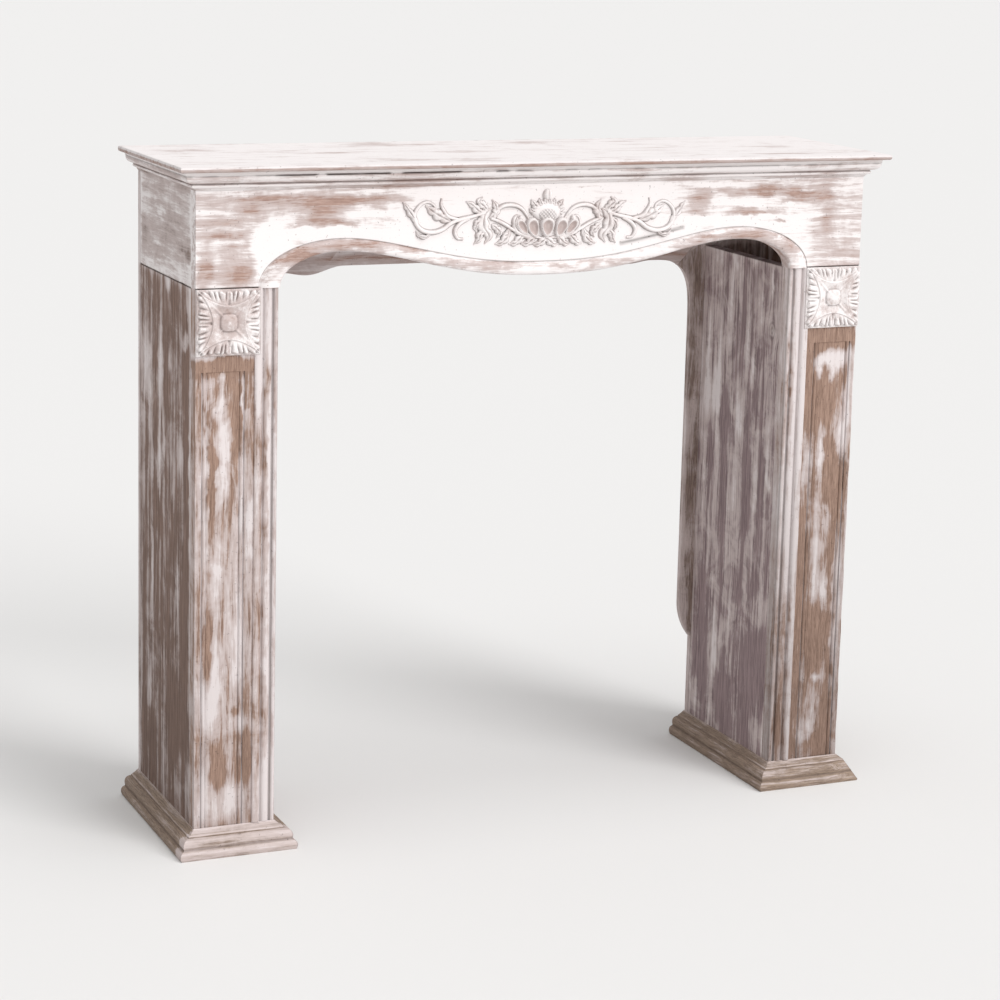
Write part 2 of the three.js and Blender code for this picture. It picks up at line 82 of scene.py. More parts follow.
FACE_Y = LEG_FRONT_LOW[1]
INNER_Y = LEG_FRONT_HIGH[1]
FRAME_Y = RAIL_LOW[1]
BACK_Y = RAIL_HIGH[1]
BODY_HALF = LEG_FRONT_HIGH[0]
LEG_INNER = corners("leg_inner_right")[0][0]
BOARD_INNER = LEG_FRONT_LOW[0]
LEG_TOP = corners("leg_outer_right")[1][2]
BODY_TOP = SHELF_LOW[2]
BASE_TOP = BASE_HIGH[2]
BASE_REACH = FACE_Y - BASE_LOW[1]
CORNICE_REACH = FACE_Y - CORNICE_LOW[1]
CORNICE_DROP = BODY_TOP - CORNICE_LOW[2]
SHELF_REACH = FACE_Y - SHELF_LOW[1]

# Sizes that more than one piece uses
SHELF_EDGE = 8 * MM
JOINT_GAP = 0.3 * MM
CRACK_SIZE = 1.5 * MM
ARCH_MIDDLE_MM = 4.5
RIM_MIDDLE_MM = 19.5


def linear(code):
    """Linear colour of a six-digit sRGB code: each channel is ((c + 0.055) / 1.055) ** 2.4."""
    channels = np.array([int(code[i:i + 2], 16) for i in (0, 2, 4)]) / 255
    return tuple(np.where(channels < 0.04045, channels / 12.92, ((channels + 0.055) / 1.055) ** 2.4))


def length(name, description, default_mm):
    """Length property with its default in millimetres."""
    return bpy.props.FloatProperty(
        name=name, description=description, default=default_mm * MM, unit="LENGTH", subtype="DISTANCE"
    )


def colour(name, description, code):
    """Colour property with its default as a six-digit sRGB code."""
    return bpy.props.FloatVectorProperty(
        name=name, description=description, default=linear(code), size=3, min=0, max=1, subtype="COLOR"
    )


class MantelSizes(bpy.types.PropertyGroup):
    """Sizes of the arch, the mouldings and the wear."""

    arch_middle: length("Arch middle", "Height of the arch over the legs at its middle", ARCH_MIDDLE_MM)
    arch_crown: length("Arch crown", "Height of the arch over the legs at its crowns", 48)
    crown_inset: length("Crown inset", "From the inner face of a leg to the crown of the arch", 93)
    arch_overhang: length("Arch overhang", "How far the foot of the arch passes the leg", 2)
    rim_middle: length("Rim at the middle", "Width of the rim at the middle of the arch", RIM_MIDDLE_MM)
    rim_crown: length("Rim at the crown", "Width of the rim at the crown of the arch", 18.5)
    rim_foot: length("Rim at the foot", "Width of the rim at the foot of the arch", 32)
    rim_relief: length("Rim relief", "How far the rim stands out of the frieze", 5)
    edge_radius: length("Edge radius", "Rounding of the board edges", 1.6)
    wear: length("Wear", "Depth of the dents and chips along the edges", 1.2)


class MantelPaint(bpy.types.PropertyGroup):
    """Colours of the wood and of the coats of whitewash."""

    wood_light: colour("Light wood", "Bare wood of the fronts between the dark grain lines", "ab8e7e")
    wood_dark: colour("Dark wood", "Dark grain lines of the fronts", "765c4e")
    header_light: colour("Light header wood", "Pinkish bare wood of the header", "b99c90")
    header_dark: colour("Dark header wood", "Dark grain lines of the header", "94776c")
    # The side and outer colours are darker partly as painted shade of faces turned from the light. The inner
    # colour is lighter partly as painted light that lifts the shade inside the opening.
    side_light: colour("Light side wood", "Greyer wood of the header ends and the back", "958279")
    side_dark: colour("Dark side wood", "Dark grain lines of the header ends and the back", "6a5951")
    outer_light: colour("Light outer wood", "Warm brown wood of the outer leg sides", "8f7467")
    outer_dark: colour("Dark outer wood", "Dark grain lines of the outer leg sides", "5f493f")
    inner_light: colour("Light inner wood", "Mauve brown wood of the inner leg sides", "a08c8d")
    inner_dark: colour("Dark inner wood", "Dark grain lines of the inner leg sides", "6c5a5c")
    base_light: colour("Light base wood", "Olive brown wood of the bases", "a38f7e")
    base_dark: colour("Dark base wood", "Dark grain lines of the bases", "65544a")
    wash: colour("Thin wash", "Thin rubbed coat over the wood", "c8bab7")
    white: colour("White coat", "Thick white coat", "efe9e8")
    old_white: colour("Old white coat", "Thick coat of the legs, a little duller", "ddd4d3")
    # This dark colour darkens hollows with dirt and painted shade, joints with dirt, and the foot of the legs
    # with painted shade.
    grime_and_shade: colour("Grime_and_shade", "Dirt held in hollows and joints", "4a3c37")


class MantelStage(bpy.types.PropertyGroup):
    """Camera, floor and lights."""

    lens: bpy.props.FloatProperty(name="Lens", description="Focal length", default=97.9, unit="CAMERA")
    camera_place: bpy.props.FloatVectorProperty(
        name="Camera", description="Place of the camera", default=(-1.637, -3.736, 1.387), unit="LENGTH"
    )
    yaw: bpy.props.FloatProperty(
        name="Yaw", description="Turn to the right", default=math.radians(23.53), unit="ROTATION"
    )
    pitch: bpy.props.FloatProperty(
        name="Pitch", description="Tilt upwards", default=math.radians(-10.67), unit="ROTATION"
    )
    roll: bpy.props.FloatProperty(
        name="Roll", description="Turn of the picture", default=math.radians(1.41), unit="ROTATION"
    )
    shift: bpy.props.FloatProperty(name="Shift", description="Vertical shift of the picture", default=-0.1)
    floor: colour("Floor", "Pale floor", "e3e2e1")


# Numpy helpers

def ease(values, low, high):
    """Smooth step from 0 at low to 1 at high: 3 s squared minus 2 s cubed."""
    share = np.clip((values - low) / (high - low), 0, 1)
    return share * share * (3 - 2 * share)


def ripple(points, size, seed):
    """Smooth random field in about -1..1: the mean of nine sines along random directions, with
    wavelengths near size."""
    rng = np.random.default_rng(seed)
    directions = rng.normal(size=(9, 3))
    directions /= np.linalg.norm(directions, axis=1, keepdims=True)
    waves = directions * (2 * np.pi / size * rng.uniform(0.6, 1.7, (9, 1)))
    return np.sin(points @ waves.T + rng.uniform(0, 2 * np.pi, 9)).mean(axis=-1) * 2.2


def rounded_line(points, times=2):
    """Open line with its corners cut: each round puts two points on each stretch, at 1/4 and 3/4."""
    line = np.array(points, float)
    for _ in range(times):
        first, second = line[:-1], line[1:]
        cut = np.stack([0.75 * first + 0.25 * second, 0.25 * first + 0.75 * second], axis=1)
        line = np.concatenate([line[:1], cut.reshape(-1, line.shape[1]), line[-1:]])
    return line


def smooth_path(points, count):
    """Catmull-Rom curve through the points, sampled evenly in its parameter."""
    knots = np.array(points, float)
    knots = np.concatenate([2 * knots[:1] - knots[1:2], knots, 2 * knots[-1:] - knots[-2:-1]])
    spans = len(knots) - 3
    t = np.linspace(0, spans, count)
    i = np.minimum(t.astype(int), spans - 1)
    s = (t - i)[:, None]
    a, b, c, d = knots[i], knots[i + 1], knots[i + 2], knots[i + 3]
    return 0.5 * (2 * b + (c - a) * s + (2 * a - 5 * b + 4 * c - d) * s**2 + (3 * b - a - 3 * c + d) * s**3)


def evenly(low, high, pitch):
    """Numbers from low to high, about one pitch apart."""
    return np.linspace(low, high, max(2, int(round(abs(high - low) / pitch)) + 1))


def edge_lines(low, high, pitch, radius):
    """Numbers from low to high, closer together within one radius of each end."""
    close = radius * np.array([0, 0.2, 0.45, 0.72])
    return np.concatenate([low + close, evenly(low + radius, high - radius, pitch), (high - close)[::-1]])


def spots_field(along, across, spots):
    """Sum of soft spots, held within -1..1 by a tanh. A spot is (centre along, centre across, half length,
    half width, strength) in millimetres. It adds strength / (1 + d squared), with d the squared distance in
    half sizes, read at a place that ripples have pushed aside so that its outline wanders."""
    place = np.stack([along, across, 0 * along], axis=-1)
    along = along / MM + 7 * ripple(place, 0.05, 201)
    across = across / MM + 3 * ripple(place, 0.03, 202) + 1.5 * ripple(place, 0.012, 203)
    total = np.zeros_like(along)
    for a, c, half_a, half_c, strength in spots:
        d = ((along - a) / half_a) ** 2 + ((across - c) / half_c) ** 2
        total += strength / (1 + d**2)
    return np.tanh(total)


def surface(x, y, z):
    """Grid of points from coordinates that are spread over one another."""
    return np.stack(np.broadcast_arrays(x, y, z), axis=-1)


def grid_quads(rows, columns, start=0, wrap=False):
    """Quads of a grid of rows by columns of points. With wrap, the last column joins the first."""
    i = np.arange(rows - 1)[:, None] * columns
    j = np.arange(columns if wrap else columns - 1)[None, :]
    k = (j + 1) % columns
    quads = np.stack([i + j, i + k, i + columns + k, i + columns + j], axis=-1)
    return quads.reshape(-1, 4) + start


class Shell:
    """Grids of points gathered into one mesh, with the paint fields of each point."""

    def __init__(self):
        self.points, self.faces, self.fields, self.count = [], [], [], 0

    def add(self, points, cover=0.0, crevice=0.0, arris=0.0, wrap=False, caps=False):
        """Takes a grid of shape (rows, columns, 3). Caps close its first and last row as they are."""
        rows, columns = points.shape[:2]
        self.faces.extend(grid_quads(rows, columns, self.count, wrap).tolist())
        if caps:
            self.faces.append(list(range(self.count, self.count + columns)))
            last = self.count + (rows - 1) * columns
            self.faces.append(list(range(last, last + columns)))
        self.points.append(points.reshape(-1, 3))
        fields = [np.broadcast_to(field, (rows, columns)).reshape(-1) for field in (cover, crevice, arris)]
        self.fields.append(np.stack(fields, axis=1))
        self.count += rows * columns


def finish_piece(shell, name, nodes, finish, sharp=38, floor_shade=0.0):
    """Mesh from a shell: doubles merged, faces turned outwards, shaded smooth up to the sharp angle. Floor
    shade is painted shade: the darkening at the floor, which fades out upwards."""
    points, fields = np.concatenate(shell.points), np.concatenate(shell.fields)
    mesh = bpy.data.meshes.new(name)
    mesh.from_pydata(points.tolist(), [], shell.faces)
    for index, field in enumerate(("cover", "crevice", "arris")):
        attribute = mesh.attributes.new(field, "FLOAT", "POINT")
        attribute.data.foreach_set("value", np.clip(fields[:, index], -2, 2).astype(np.float32))
    # Painted shade: the colour darkens towards the floor and fades out upwards.
    darkening = floor_shade * (1 - ease(points[:, 2], 0.05, 0.75))
    mesh.attributes.new("floor_shade", "FLOAT", "POINT").data.foreach_set("value", darkening.astype(np.float32))
    work = bmesh.new()
    work.from_mesh(mesh)
    bmesh.ops.remove_doubles(work, verts=work.verts, dist=0.02 * MM)
    bmesh.ops.recalc_face_normals(work, faces=work.faces)
    work.to_mesh(mesh)
    work.free()
    mesh.shade_smooth()
    mesh.set_sharp_from_angle(angle=math.radians(sharp))
    mesh.materials.append(weathered(finish))
    piece = bpy.data.objects.new(name, mesh)
    bpy.context.scene.collection.objects.link(piece)
    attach(piece, "root")
    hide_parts(*nodes)


def dented(points, low, high, radius, seed):
    """Points of a box's surface, rounded and worn: each is drawn back to the box shrunk by its own
    radius and pushed out again by that radius. The radius swells where the ripples make a chip."""
    wear = bpy.context.scene.mantel_sizes.wear
    swell = np.clip(ripple(points, 0.045, seed) - 0.35, 0, None) * 1.6 * wear
    swell += wear * 0.25 * (1 + ripple(points, 0.012, seed + 1))
    reach = np.minimum(radius * 0.6 + swell, 0.42 * (high - low).min())[..., None]
    core = np.clip(points, low + reach, high - reach)
    away = points - core
    return core + away / np.maximum(np.linalg.norm(away, axis=-1, keepdims=True), 1e-9) * reach


def edge_nearness(points, low, high, size=4 * MM):
    """1 on an edge of the box, falling to 0 within a few sizes: exp of minus the distance."""
    gaps = np.sort(np.minimum(points - low, high - points), axis=-1)
    return np.exp(-np.clip(gaps[..., 1], 0, None) / size)


def joint_dirt(points, levels, size=1.3 * MM):
    """1 on each of the joint heights, falling away like a bell within a few sizes."""
    return sum(np.exp(-(((points[..., 2] - level) / size) ** 2)) for level in levels)


def block(shell, low, high, pitch, cover, seed, joints=(), radius=None):
    """Board with rounded, worn edges: six grids of points on a box, then dented. Its joints hold dirt."""
    radius = radius or bpy.context.scene.mantel_sizes.edge_radius
    spread = radius + bpy.context.scene.mantel_sizes.wear
    lines = [edge_lines(low[k], high[k], pitch, min(spread, 0.4 * (high[k] - low[k]))) for k in range(3)]
    for axis in range(3):
        u, v = (k for k in range(3) if k != axis)
        for end in (low, high):
            points = np.empty((len(lines[u]), len(lines[v]), 3))
            points[..., u] = lines[u][:, None]
            points[..., v] = lines[v][None, :]
            points[..., axis] = end[axis]
            # Edges whiten with paint and a painted highlight; joints hold dirt.
            near = edge_nearness(points, low, high)
            dirt = joint_dirt(points, joints)
            shell.add(dented(points, low, high, radius, seed), cover(points), dirt, near * (1 - dirt))


def board_loop(face, back):
    """Loops round a board: the rows of its face and of its back, joined by straight flanks."""
    flank = evenly(0, 1, 0.2)[None, 1:-1, None]
    inner = face[:, -1:] * (1 - flank) + back[:, :1] * flank
    outer = back[:, -1:] * (1 - flank) + face[:, :1] * flank
    return np.concatenate([face, inner, back, outer], axis=1)


def bends(section, closed=False):
    """Arris and crevice of a section line: how far it turns outwards or inwards at each point, with
    the turns of the neighbours mixed in."""
    ahead = np.roll(section, -1, axis=0) - section
    behind = section - np.roll(section, 1, axis=0)
    turn = behind[:, 0] * ahead[:, 1] - behind[:, 1] * ahead[:, 0]
    turn /= np.maximum(np.linalg.norm(ahead, axis=1) * np.linalg.norm(behind, axis=1), 1e-12)
    if not closed:
        turn[[0, -1]] = 0
    kernel = np.array([0.3, 0.7, 1, 0.7, 0.3])
    turn = np.convolve(np.pad(turn, 2, mode="wrap" if closed else "edge"), kernel, mode="valid")
    return np.clip(turn, 0, 1), np.clip(-0.7 * turn, 0, 1)


def run(shell, section, place, stations, cover, seed, dirt=None, held=0.8):
    """Moulding: a section of (out, rise) points carried along the stations by place(out, rise, s), each
    point drawn in a little by the ripples, and capped at both ends."""
    out, rise = section[:, 0], section[:, 1]
    convex, hollow = bends(section)
    points = place(out[None, :], rise[None, :], stations[:, None])
    wear = bpy.context.scene.mantel_sizes.wear
    nick = wear * 0.35 * convex * np.clip(0.4 + ripple(points, 0.03, seed), 0, None)
    nick += 0.12 * wear * (1 + ripple(points, 0.09, seed + 1)) * (out > 0)
    points = place(np.maximum(out[None, :] - nick, 0) + np.minimum(out, 0), rise[None, :], stations[:, None])
    # Hollows of the section darken with dirt and painted shade, bends outwards whiten with paint and a
    # painted highlight.
    crevice = held * hollow + (dirt(points) if dirt else 0)
    shell.add(points, cover(points), crevice, convex, wrap=True, caps=True)


# Shader helpers

def put(tree, kind, sockets=None, **settings):
    """Adds a node, sets its properties, and sets or joins its inputs by name or number."""
    node = tree.nodes.new(kind)
    for key, value in settings.items():
        setattr(node, key, value)
    for key, value in (sockets or {}).items():
        if isinstance(value, bpy.types.NodeSocket):
            tree.links.new(value, node.inputs[key])
        else:
            node.inputs[key].default_value = value
    return node


def calc(tree, operation, first, second=0.0):
    """Math node on two values."""
    return put(tree, "ShaderNodeMath", {0: first, 1: second}, operation=operation).outputs[0]


def weighted(tree, *terms):
    """Sum of values, each times its weight."""
    total = 0.0
    for value, weight in terms:
        total = calc(tree, "ADD", calc(tree, "MULTIPLY", value, weight), total)
    return total


def vector(tree, operation, first, second=None, **sockets):
    """Vector math node on two vectors, or on one with named inputs."""
    inputs = {0: first, **sockets} if second is None else {0: first, 1: second}
    return put(tree, "ShaderNodeVectorMath", inputs, operation=operation)


def between(tree, value, low, high, to_low=0.0, to_high=1.0):
    """Smooth step of a value between two limits."""
    sockets = {"Value": value, "From Min": low, "From Max": high, "To Min": to_low, "To Max": to_high}
    return put(tree, "ShaderNodeMapRange", sockets, interpolation_type="SMOOTHSTEP").outputs["Result"]


def blend_colours(tree, share, first, second, kind="MIX"):
    """Mix of two colours by a share."""
    sockets = {0: share, 6: first, 7: second}
    return put(tree, "ShaderNodeMix", sockets, data_type="RGBA", blend_type=kind).outputs[2]


def noise(tree, vector, scale, detail=3.0, roughness=0.6, distortion=0.0):
    """Noise texture's value at a place."""
    sockets = {
        "Vector": vector, "Scale": scale, "Detail": detail, "Roughness": roughness, "Distortion": distortion,
    }
    return put(tree, "ShaderNodeTexNoise", sockets).outputs["Fac"]


def new_group(name, inputs, outputs):
    """Empty shader group with named sockets. Returns the tree, its input node and its output node."""
    tree = bpy.data.node_groups.new(name, "ShaderNodeTree")
    for title, kind, default in inputs:
        socket = tree.interface.new_socket(title, in_out="INPUT", socket_type=kind)
        socket.default_value = default
    for title, kind in outputs:
        tree.interface.new_socket(title, in_out="OUTPUT", socket_type=kind)
    return tree, tree.nodes.new("NodeGroupInput"), tree.nodes.new("NodeGroupOutput")


MARKS = ("Broad", "Fine", "Grain", "Blotches", "Specks", "Ring")
MARK_WEIGHTS = {"Broad": 3.0, "Fine": 1.25, "Grain": 0.6, "Blotches": 1.8}
BRUSH_WANDER = 12 * MM

# Knots: where the grain is pulled in, where the rings end, and how close the rings lie
KNOT_PULL = (4 * MM, 30 * MM)
KNOT_EDGE = (6 * MM, 13 * MM)
KNOT_RINGS = 520.0
NO_KNOT = (0, 0, -9)


def brush_marks():
    """Group for the marks of brush and grain. The place is stretched so that they run along one axis:
    broad strokes, fine bristle lines and hair-thin grain, with blotches and small specks besides."""
    tree, given, result = new_group(
        "Brush marks",
        [("Place", "NodeSocketVector", (0, 0, 0)), ("Stretch", "NodeSocketVector", (1, 1, 1)),
         ("Knot", "NodeSocketVector", NO_KNOT)],
        [(title, "NodeSocketFloat") for title in MARKS],
    )
    place = given.outputs["Place"]
    wander = put(tree, "ShaderNodeTexNoise", {"Vector": place, "Scale": 7.0, "Detail": 2.0})
    offset = vector(tree, "SUBTRACT", wander.outputs["Color"], (0.5, 0.5, 0.5)).outputs[0]
    offset = vector(tree, "SCALE", offset, Scale=BRUSH_WANDER).outputs[0]
    moved = vector(tree, "ADD", place, offset).outputs[0]
    away = vector(tree, "SUBTRACT", place, given.outputs["Knot"]).outputs[0]
    away = vector(tree, "MULTIPLY", away, (1, 1, 0.7)).outputs[0]
    gap = vector(tree, "LENGTH", away).outputs["Value"]
    pulled = vector(tree, "SCALE", away, Scale=between(tree, gap, *KNOT_PULL, 0.8, 0.0)).outputs[0]
    moved = vector(tree, "SUBTRACT", moved, pulled).outputs[0]
    wave = calc(tree, "ABSOLUTE", calc(tree, "SINE", calc(tree, "MULTIPLY", gap, KNOT_RINGS)))
    ring = calc(tree, "MULTIPLY", between(tree, wave, 0.35, 1.0), between(tree, gap, *KNOT_EDGE, 1.0, 0.0))
    tree.links.new(ring, result.inputs["Ring"])
    stretched = vector(tree, "MULTIPLY", moved, given.outputs["Stretch"]).outputs[0]
    tree.links.new(noise(tree, stretched, 1.0, 5.0, 0.62), result.inputs["Broad"])
    tree.links.new(noise(tree, stretched, 4.2, 4.0, 0.65), result.inputs["Fine"])
    tree.links.new(noise(tree, stretched, 13.0, 3.0, 0.6), result.inputs["Grain"])
    tree.links.new(noise(tree, moved, 15.0, 4.0, 0.7, 0.6), result.inputs["Blotches"])
    tree.links.new(noise(tree, place, 260.0, 2.0, 0.5), result.inputs["Specks"])
    return tree


def worn_paint():
    """Group for the coats. A coat is there where cover plus the marks passes its limit: first the thin
    wash, then the white. Hollows darken with dirt and painted shade, edges gain paint and a painted
    highlight, and near the floor the colour darkens with painted shade."""
    floats = [("Cover", 0.0), ("Crevice", 0.0), ("Arris", 0.0), ("Broad", 0.5), ("Fine", 0.5), ("Grain", 0.5),
              ("Blotches", 0.5), ("Specks", 0.5), ("Ring", 0.0), ("Contrast", 1.0), ("Edge paint and highlight", 0.0),
              ("Dirt", 1.0), ("Floor_shade", 0.0)]
    colours = [("Wood light", (0.4, 0.3, 0.2, 1)), ("Wood dark", (0.2, 0.1, 0.1, 1)),
               ("Wash", (0.6, 0.5, 0.5, 1)), ("White", (0.9, 0.9, 0.9, 1)), ("Grime_and_shade", (0.1, 0.1, 0.1, 1))]
    tree, given, result = new_group(
        "Worn paint",
        [(title, "NodeSocketFloat", value) for title, value in floats]
        + [(title, "NodeSocketColor", value) for title, value in colours],
        [("Color", "NodeSocketColor"), ("Roughness", "NodeSocketFloat"), ("Height", "NodeSocketFloat")],
    )
    at = given.outputs
    marks = 0.0
    for title, weight in MARK_WEIGHTS.items():
        part = calc(tree, "MULTIPLY", calc(tree, "SUBTRACT", at[title], 0.5), weight)
        marks = calc(tree, "ADD", part, marks)
    marks = calc(tree, "MULTIPLY", marks, at["Contrast"])
    # Edges whiten: paint and a painted highlight.
    edge = calc(tree, "MULTIPLY", at["Arris"], at["Edge paint and highlight"])
    level = calc(tree, "ADD", calc(tree, "ADD", at["Cover"], marks), edge)
    wash_share = between(tree, level, -0.55, 0.1)
    white_share = between(tree, level, 0.05, 0.6)
    figure = weighted(tree, (at["Fine"], 0.6), (at["Grain"], 0.4))
    wood = blend_colours(tree, between(tree, figure, 0.3, 0.66), at["Wood dark"], at["Wood light"])
    thin = blend_colours(tree, calc(tree, "MULTIPLY", wash_share, 0.9), wood, at["Wash"])
    coat = blend_colours(tree, white_share, thin, at["White"])
    # Hollows darken with dirt and painted shade, broken up by the fine marks; dark specks are dirt and knot
    # rings are wood.
    hollow = calc(tree, "MULTIPLY", at["Crevice"], between(tree, at["Fine"], 0.2, 0.6, 0.55, 1.0))
    specks = calc(tree, "MULTIPLY", between(tree, at["Specks"], 0.66, 0.76), 0.5)
    held = calc(tree, "MULTIPLY", calc(tree, "ADD", hollow, specks), at["Dirt"])
    dirt = calc(tree, "MINIMUM", calc(tree, "ADD", held, calc(tree, "MULTIPLY", at["Ring"], 0.42)), 1.0)
    grimed_and_shaded = blend_colours(tree, dirt, coat, at["Grime_and_shade"])
    # Near the floor the colour is multiplied by the dark colour: painted shade.
    tree.links.new(blend_colours(tree, at["Floor_shade"], grimed_and_shaded, at["Grime_and_shade"], "MULTIPLY"), result.inputs["Color"])
    gloss = calc(tree, "SUBTRACT", 0.74, calc(tree, "MULTIPLY", white_share, 0.16))
    tree.links.new(gloss, result.inputs["Roughness"])
    relief = weighted(tree, (at["Fine"], 0.5), (at["Grain"], 0.35), (white_share, 0.35), (dirt, -0.2))
    tree.links.new(relief, result.inputs["Height"])
    return tree


# How the marks run on each kind of surface: along X, upright, or front to back
ALONG_X = (7.0, 110.0, 110.0)
UPRIGHT = (95.0, 95.0, 6.0)
FRONT_TO_BACK = (80.0, 6.0, 80.0)
LONG_UPRIGHT = (62.0, 62.0, 2.4)
FINE_ALONG_X = (9.0, 210.0, 210.0)
FINE_TO_BACK = (190.0, 8.0, 190.0)
SOFT_BLOTCHES = (48.0, 48.0, 48.0)

# Each finish: run of the marks, contrast, paint and painted highlight on edges, dirt and painted shade in
# hollows, wood, thick coat
FINISHES = {
    "shelf": (ALONG_X, 0.6, 0.25, 0.8, "header", "white"),
    "header": (ALONG_X, 0.72, 0.2, 0.85, "header", "white"),
    "header_end": (FRONT_TO_BACK, 0.55, 0.3, 0.8, "side", "white"),
    "carving": (SOFT_BLOTCHES, 0.35, 0.25, 0.62, "header", "white"),
    "leg_front": (UPRIGHT, 0.9, 0.35, 0.9, "wood", "old_white"),
    "rosette": (SOFT_BLOTCHES, 0.5, 0.4, 0.85, "header", "white"),
    "leg_moulding": (UPRIGHT, 0.85, 0.3, 0.7, "wood", "old_white"),
    "leg_outer": (LONG_UPRIGHT, 0.8, 0.5, 0.9, "outer", "old_white"),
    "leg_inner": (LONG_UPRIGHT, 1.0, 0.5, 0.8, "inner", "old_white"),
    "base_front": (FINE_ALONG_X, 0.5, 0.9, 1.0, "base", "old_white"),
    "base_side": (FINE_TO_BACK, 0.4, 0.75, 1.0, "base", "old_white"),
    "rail": (ALONG_X, 0.8, 0.3, 0.9, "header", "old_white"),
    "stile": (UPRIGHT, 0.6, 0.3, 0.9, "side", "old_white"),
}

# Knot in the wood of a finish
KNOTS = {"leg_inner": (LEG_INNER, -83 * MM, 722 * MM)}


def weathered(name):
    """Material of one finish: the brush marks, the worn coats over the wood, and their relief."""
    found = bpy.data.materials.get(name)
    if found:
        return found
    stretch, contrast, edge_paint_and_highlight, dirt, wood, thick = FINISHES[name]
    paint = bpy.context.scene.mantel_paint
    light, dark = (getattr(paint, f"{wood}_{shade}") for shade in ("light", "dark"))
    material = bpy.data.materials.new(name)
    material.use_nodes = True
    tree = material.node_tree
    tree.nodes.clear()
    place = put(tree, "ShaderNodeTexCoord").outputs["Object"]
    marks = put(tree, "ShaderNodeGroup", node_tree=bpy.data.node_groups["Brush marks"])
    tree.links.new(place, marks.inputs["Place"])
    marks.inputs["Stretch"].default_value = stretch
    marks.inputs["Knot"].default_value = KNOTS.get(name, NO_KNOT)
    coats = put(tree, "ShaderNodeGroup", node_tree=bpy.data.node_groups["Worn paint"])
    for title in MARKS:
        tree.links.new(marks.outputs[title], coats.inputs[title])
    for title in ("Cover", "Crevice", "Arris", "Floor_shade"):
        field = put(tree, "ShaderNodeAttribute", attribute_name=title.lower())
        tree.links.new(field.outputs["Fac"], coats.inputs[title])
    coats.inputs["Contrast"].default_value = contrast
    coats.inputs["Edge paint and highlight"].default_value = edge_paint_and_highlight
    coats.inputs["Dirt"].default_value = dirt
    shades = {"Wood light": light, "Wood dark": dark, "Wash": paint.wash, "White": getattr(paint, thick),
              "Grime_and_shade": paint.grime_and_shade}
    for title, shade in shades.items():
        coats.inputs[title].default_value = (*shade, 1)
    bump = put(
        tree, "ShaderNodeBump", {"Strength": 0.55, "Distance": 0.6 * MM, "Height": coats.outputs["Height"]}
    )
    shader = put(tree, "ShaderNodeBsdfPrincipled", {
        "Base Color": coats.outputs["Color"],
        "Roughness": coats.outputs["Roughness"],
        "Normal": bump.outputs["Normal"],
        "Specular IOR Level": 0.35,
    })
    output = put(tree, "ShaderNodeOutputMaterial")
    tree.links.new(shader.outputs["BSDF"], output.inputs["Surface"])
    return material


# Where the paint is thick or worn through, as spots in millimetres: (along, across, half length,
# half width, strength), with strength above 0 for paint and below 0 for bare wood

# Header front: x, z
HEADER_SPOTS = [
    (-335, 943, 58, 9, -1.3), (-345, 922, 28, 11, -1.2), (-455, 934, 13, 6, -1.0),
    (-470, 944, 48, 14, -0.62), (-490, 897, 28, 4, -0.8), (-466, 886, 16, 4, -0.9),
    (-521, 850, 7, 24, -1.2), (-463, 842, 10, 15, -1.0), (-493, 843, 22, 15, -0.45),
    (-418, 953, 38, 4, -0.75), (-386, 911, 16, 3, -0.8), (-313, 914, 22, 3, -1.1),
    (-265, 949, 38, 5, -0.5), (-232, 914, 28, 2.5, -0.5), (-480, 915, 40, 12, -0.3),
    (-425, 880, 26, 40, 0.9), (-350, 900, 70, 9, 0.9), (-200, 905, 60, 30, 0.6),
    (-480, 870, 35, 8, -0.35), (0, 915, 215, 50, 0.7), (0, 862, 300, 14, 0.5),
    (255, 938, 17, 12, -0.95), (250, 917, 14, 6, -0.45), (325, 945, 60, 5, -0.6),
    (368, 947, 28, 7, -1.2), (329, 914, 27, 5, -1.25), (362, 912, 12, 2.5, -0.8),
    (422, 936, 24, 8, -0.75), (467, 937, 17, 11, -1.0), (472, 898, 10, 24, -0.45),
    (490, 845, 44, 15, -0.32), (445, 876, 14, 7, -0.45), (390, 899, 13, 2.5, -1.0),
    (510, 900, 25, 40, 0.1), (340, 928, 40, 7, 0.6), (425, 860, 22, 26, 0.9), (330, 900, 70, 8, 0.9),
]

# Rim of the arch: x, z
RIM_SPOTS = [
    (-380, 867, 30, 12, -1.5), (-300, 884, 55, 6, -0.8), (-215, 876, 38, 6, -0.8),
    (-120, 850, 80, 4, -0.5), (335, 881, 28, 7, -1.2), (275, 876, 30, 5, -0.7), (60, 845, 90, 3, -0.4),
    (400, 862, 16, 14, -0.4),
]

# Left leg front: z, x
LEFT_FRONT_SPOTS = [
    (729, -490, 4, 50, 1.6), (717, -490, 9, 50, -0.9), (699, -500, 8, 8, 0.8), (658, -499, 15, 4.5, 1.1),
    (605, -488, 30, 8, 1.3), (548, -493, 32, 8, 1.3), (665, -462, 42, 2.5, 1.2), (495, -449, 24, 7, 1.3),
    (508, -466, 34, 4, 0.8), (444, -448, 11, 4, 1.1), (505, -520, 60, 6, 1.3), (610, -517, 62, 3, 0.9),
    (405, -502, 38, 6, 0.8), (275, -497, 34, 8, 1.1), (225, -512, 26, 13, 1.5), (290, -465, 46, 14, 0.6),
    (190, -463, 13, 10, 0.8), (76, -485, 23, 22, 1.2), (85, -519, 32, 7, 1.1), (130, -495, 26, 12, -0.8),
    (135, -455, 32, 10, -0.9), (640, -473, 52, 11, -0.9), (580, -507, 72, 4.5, -0.7),
    (313, -512, 60, 4, -0.6), (400, -470, 90, 20, 0.25), (209, -472, 4, 6, -1.4), (640, -491, 2.5, 2.5, -1.8),
]

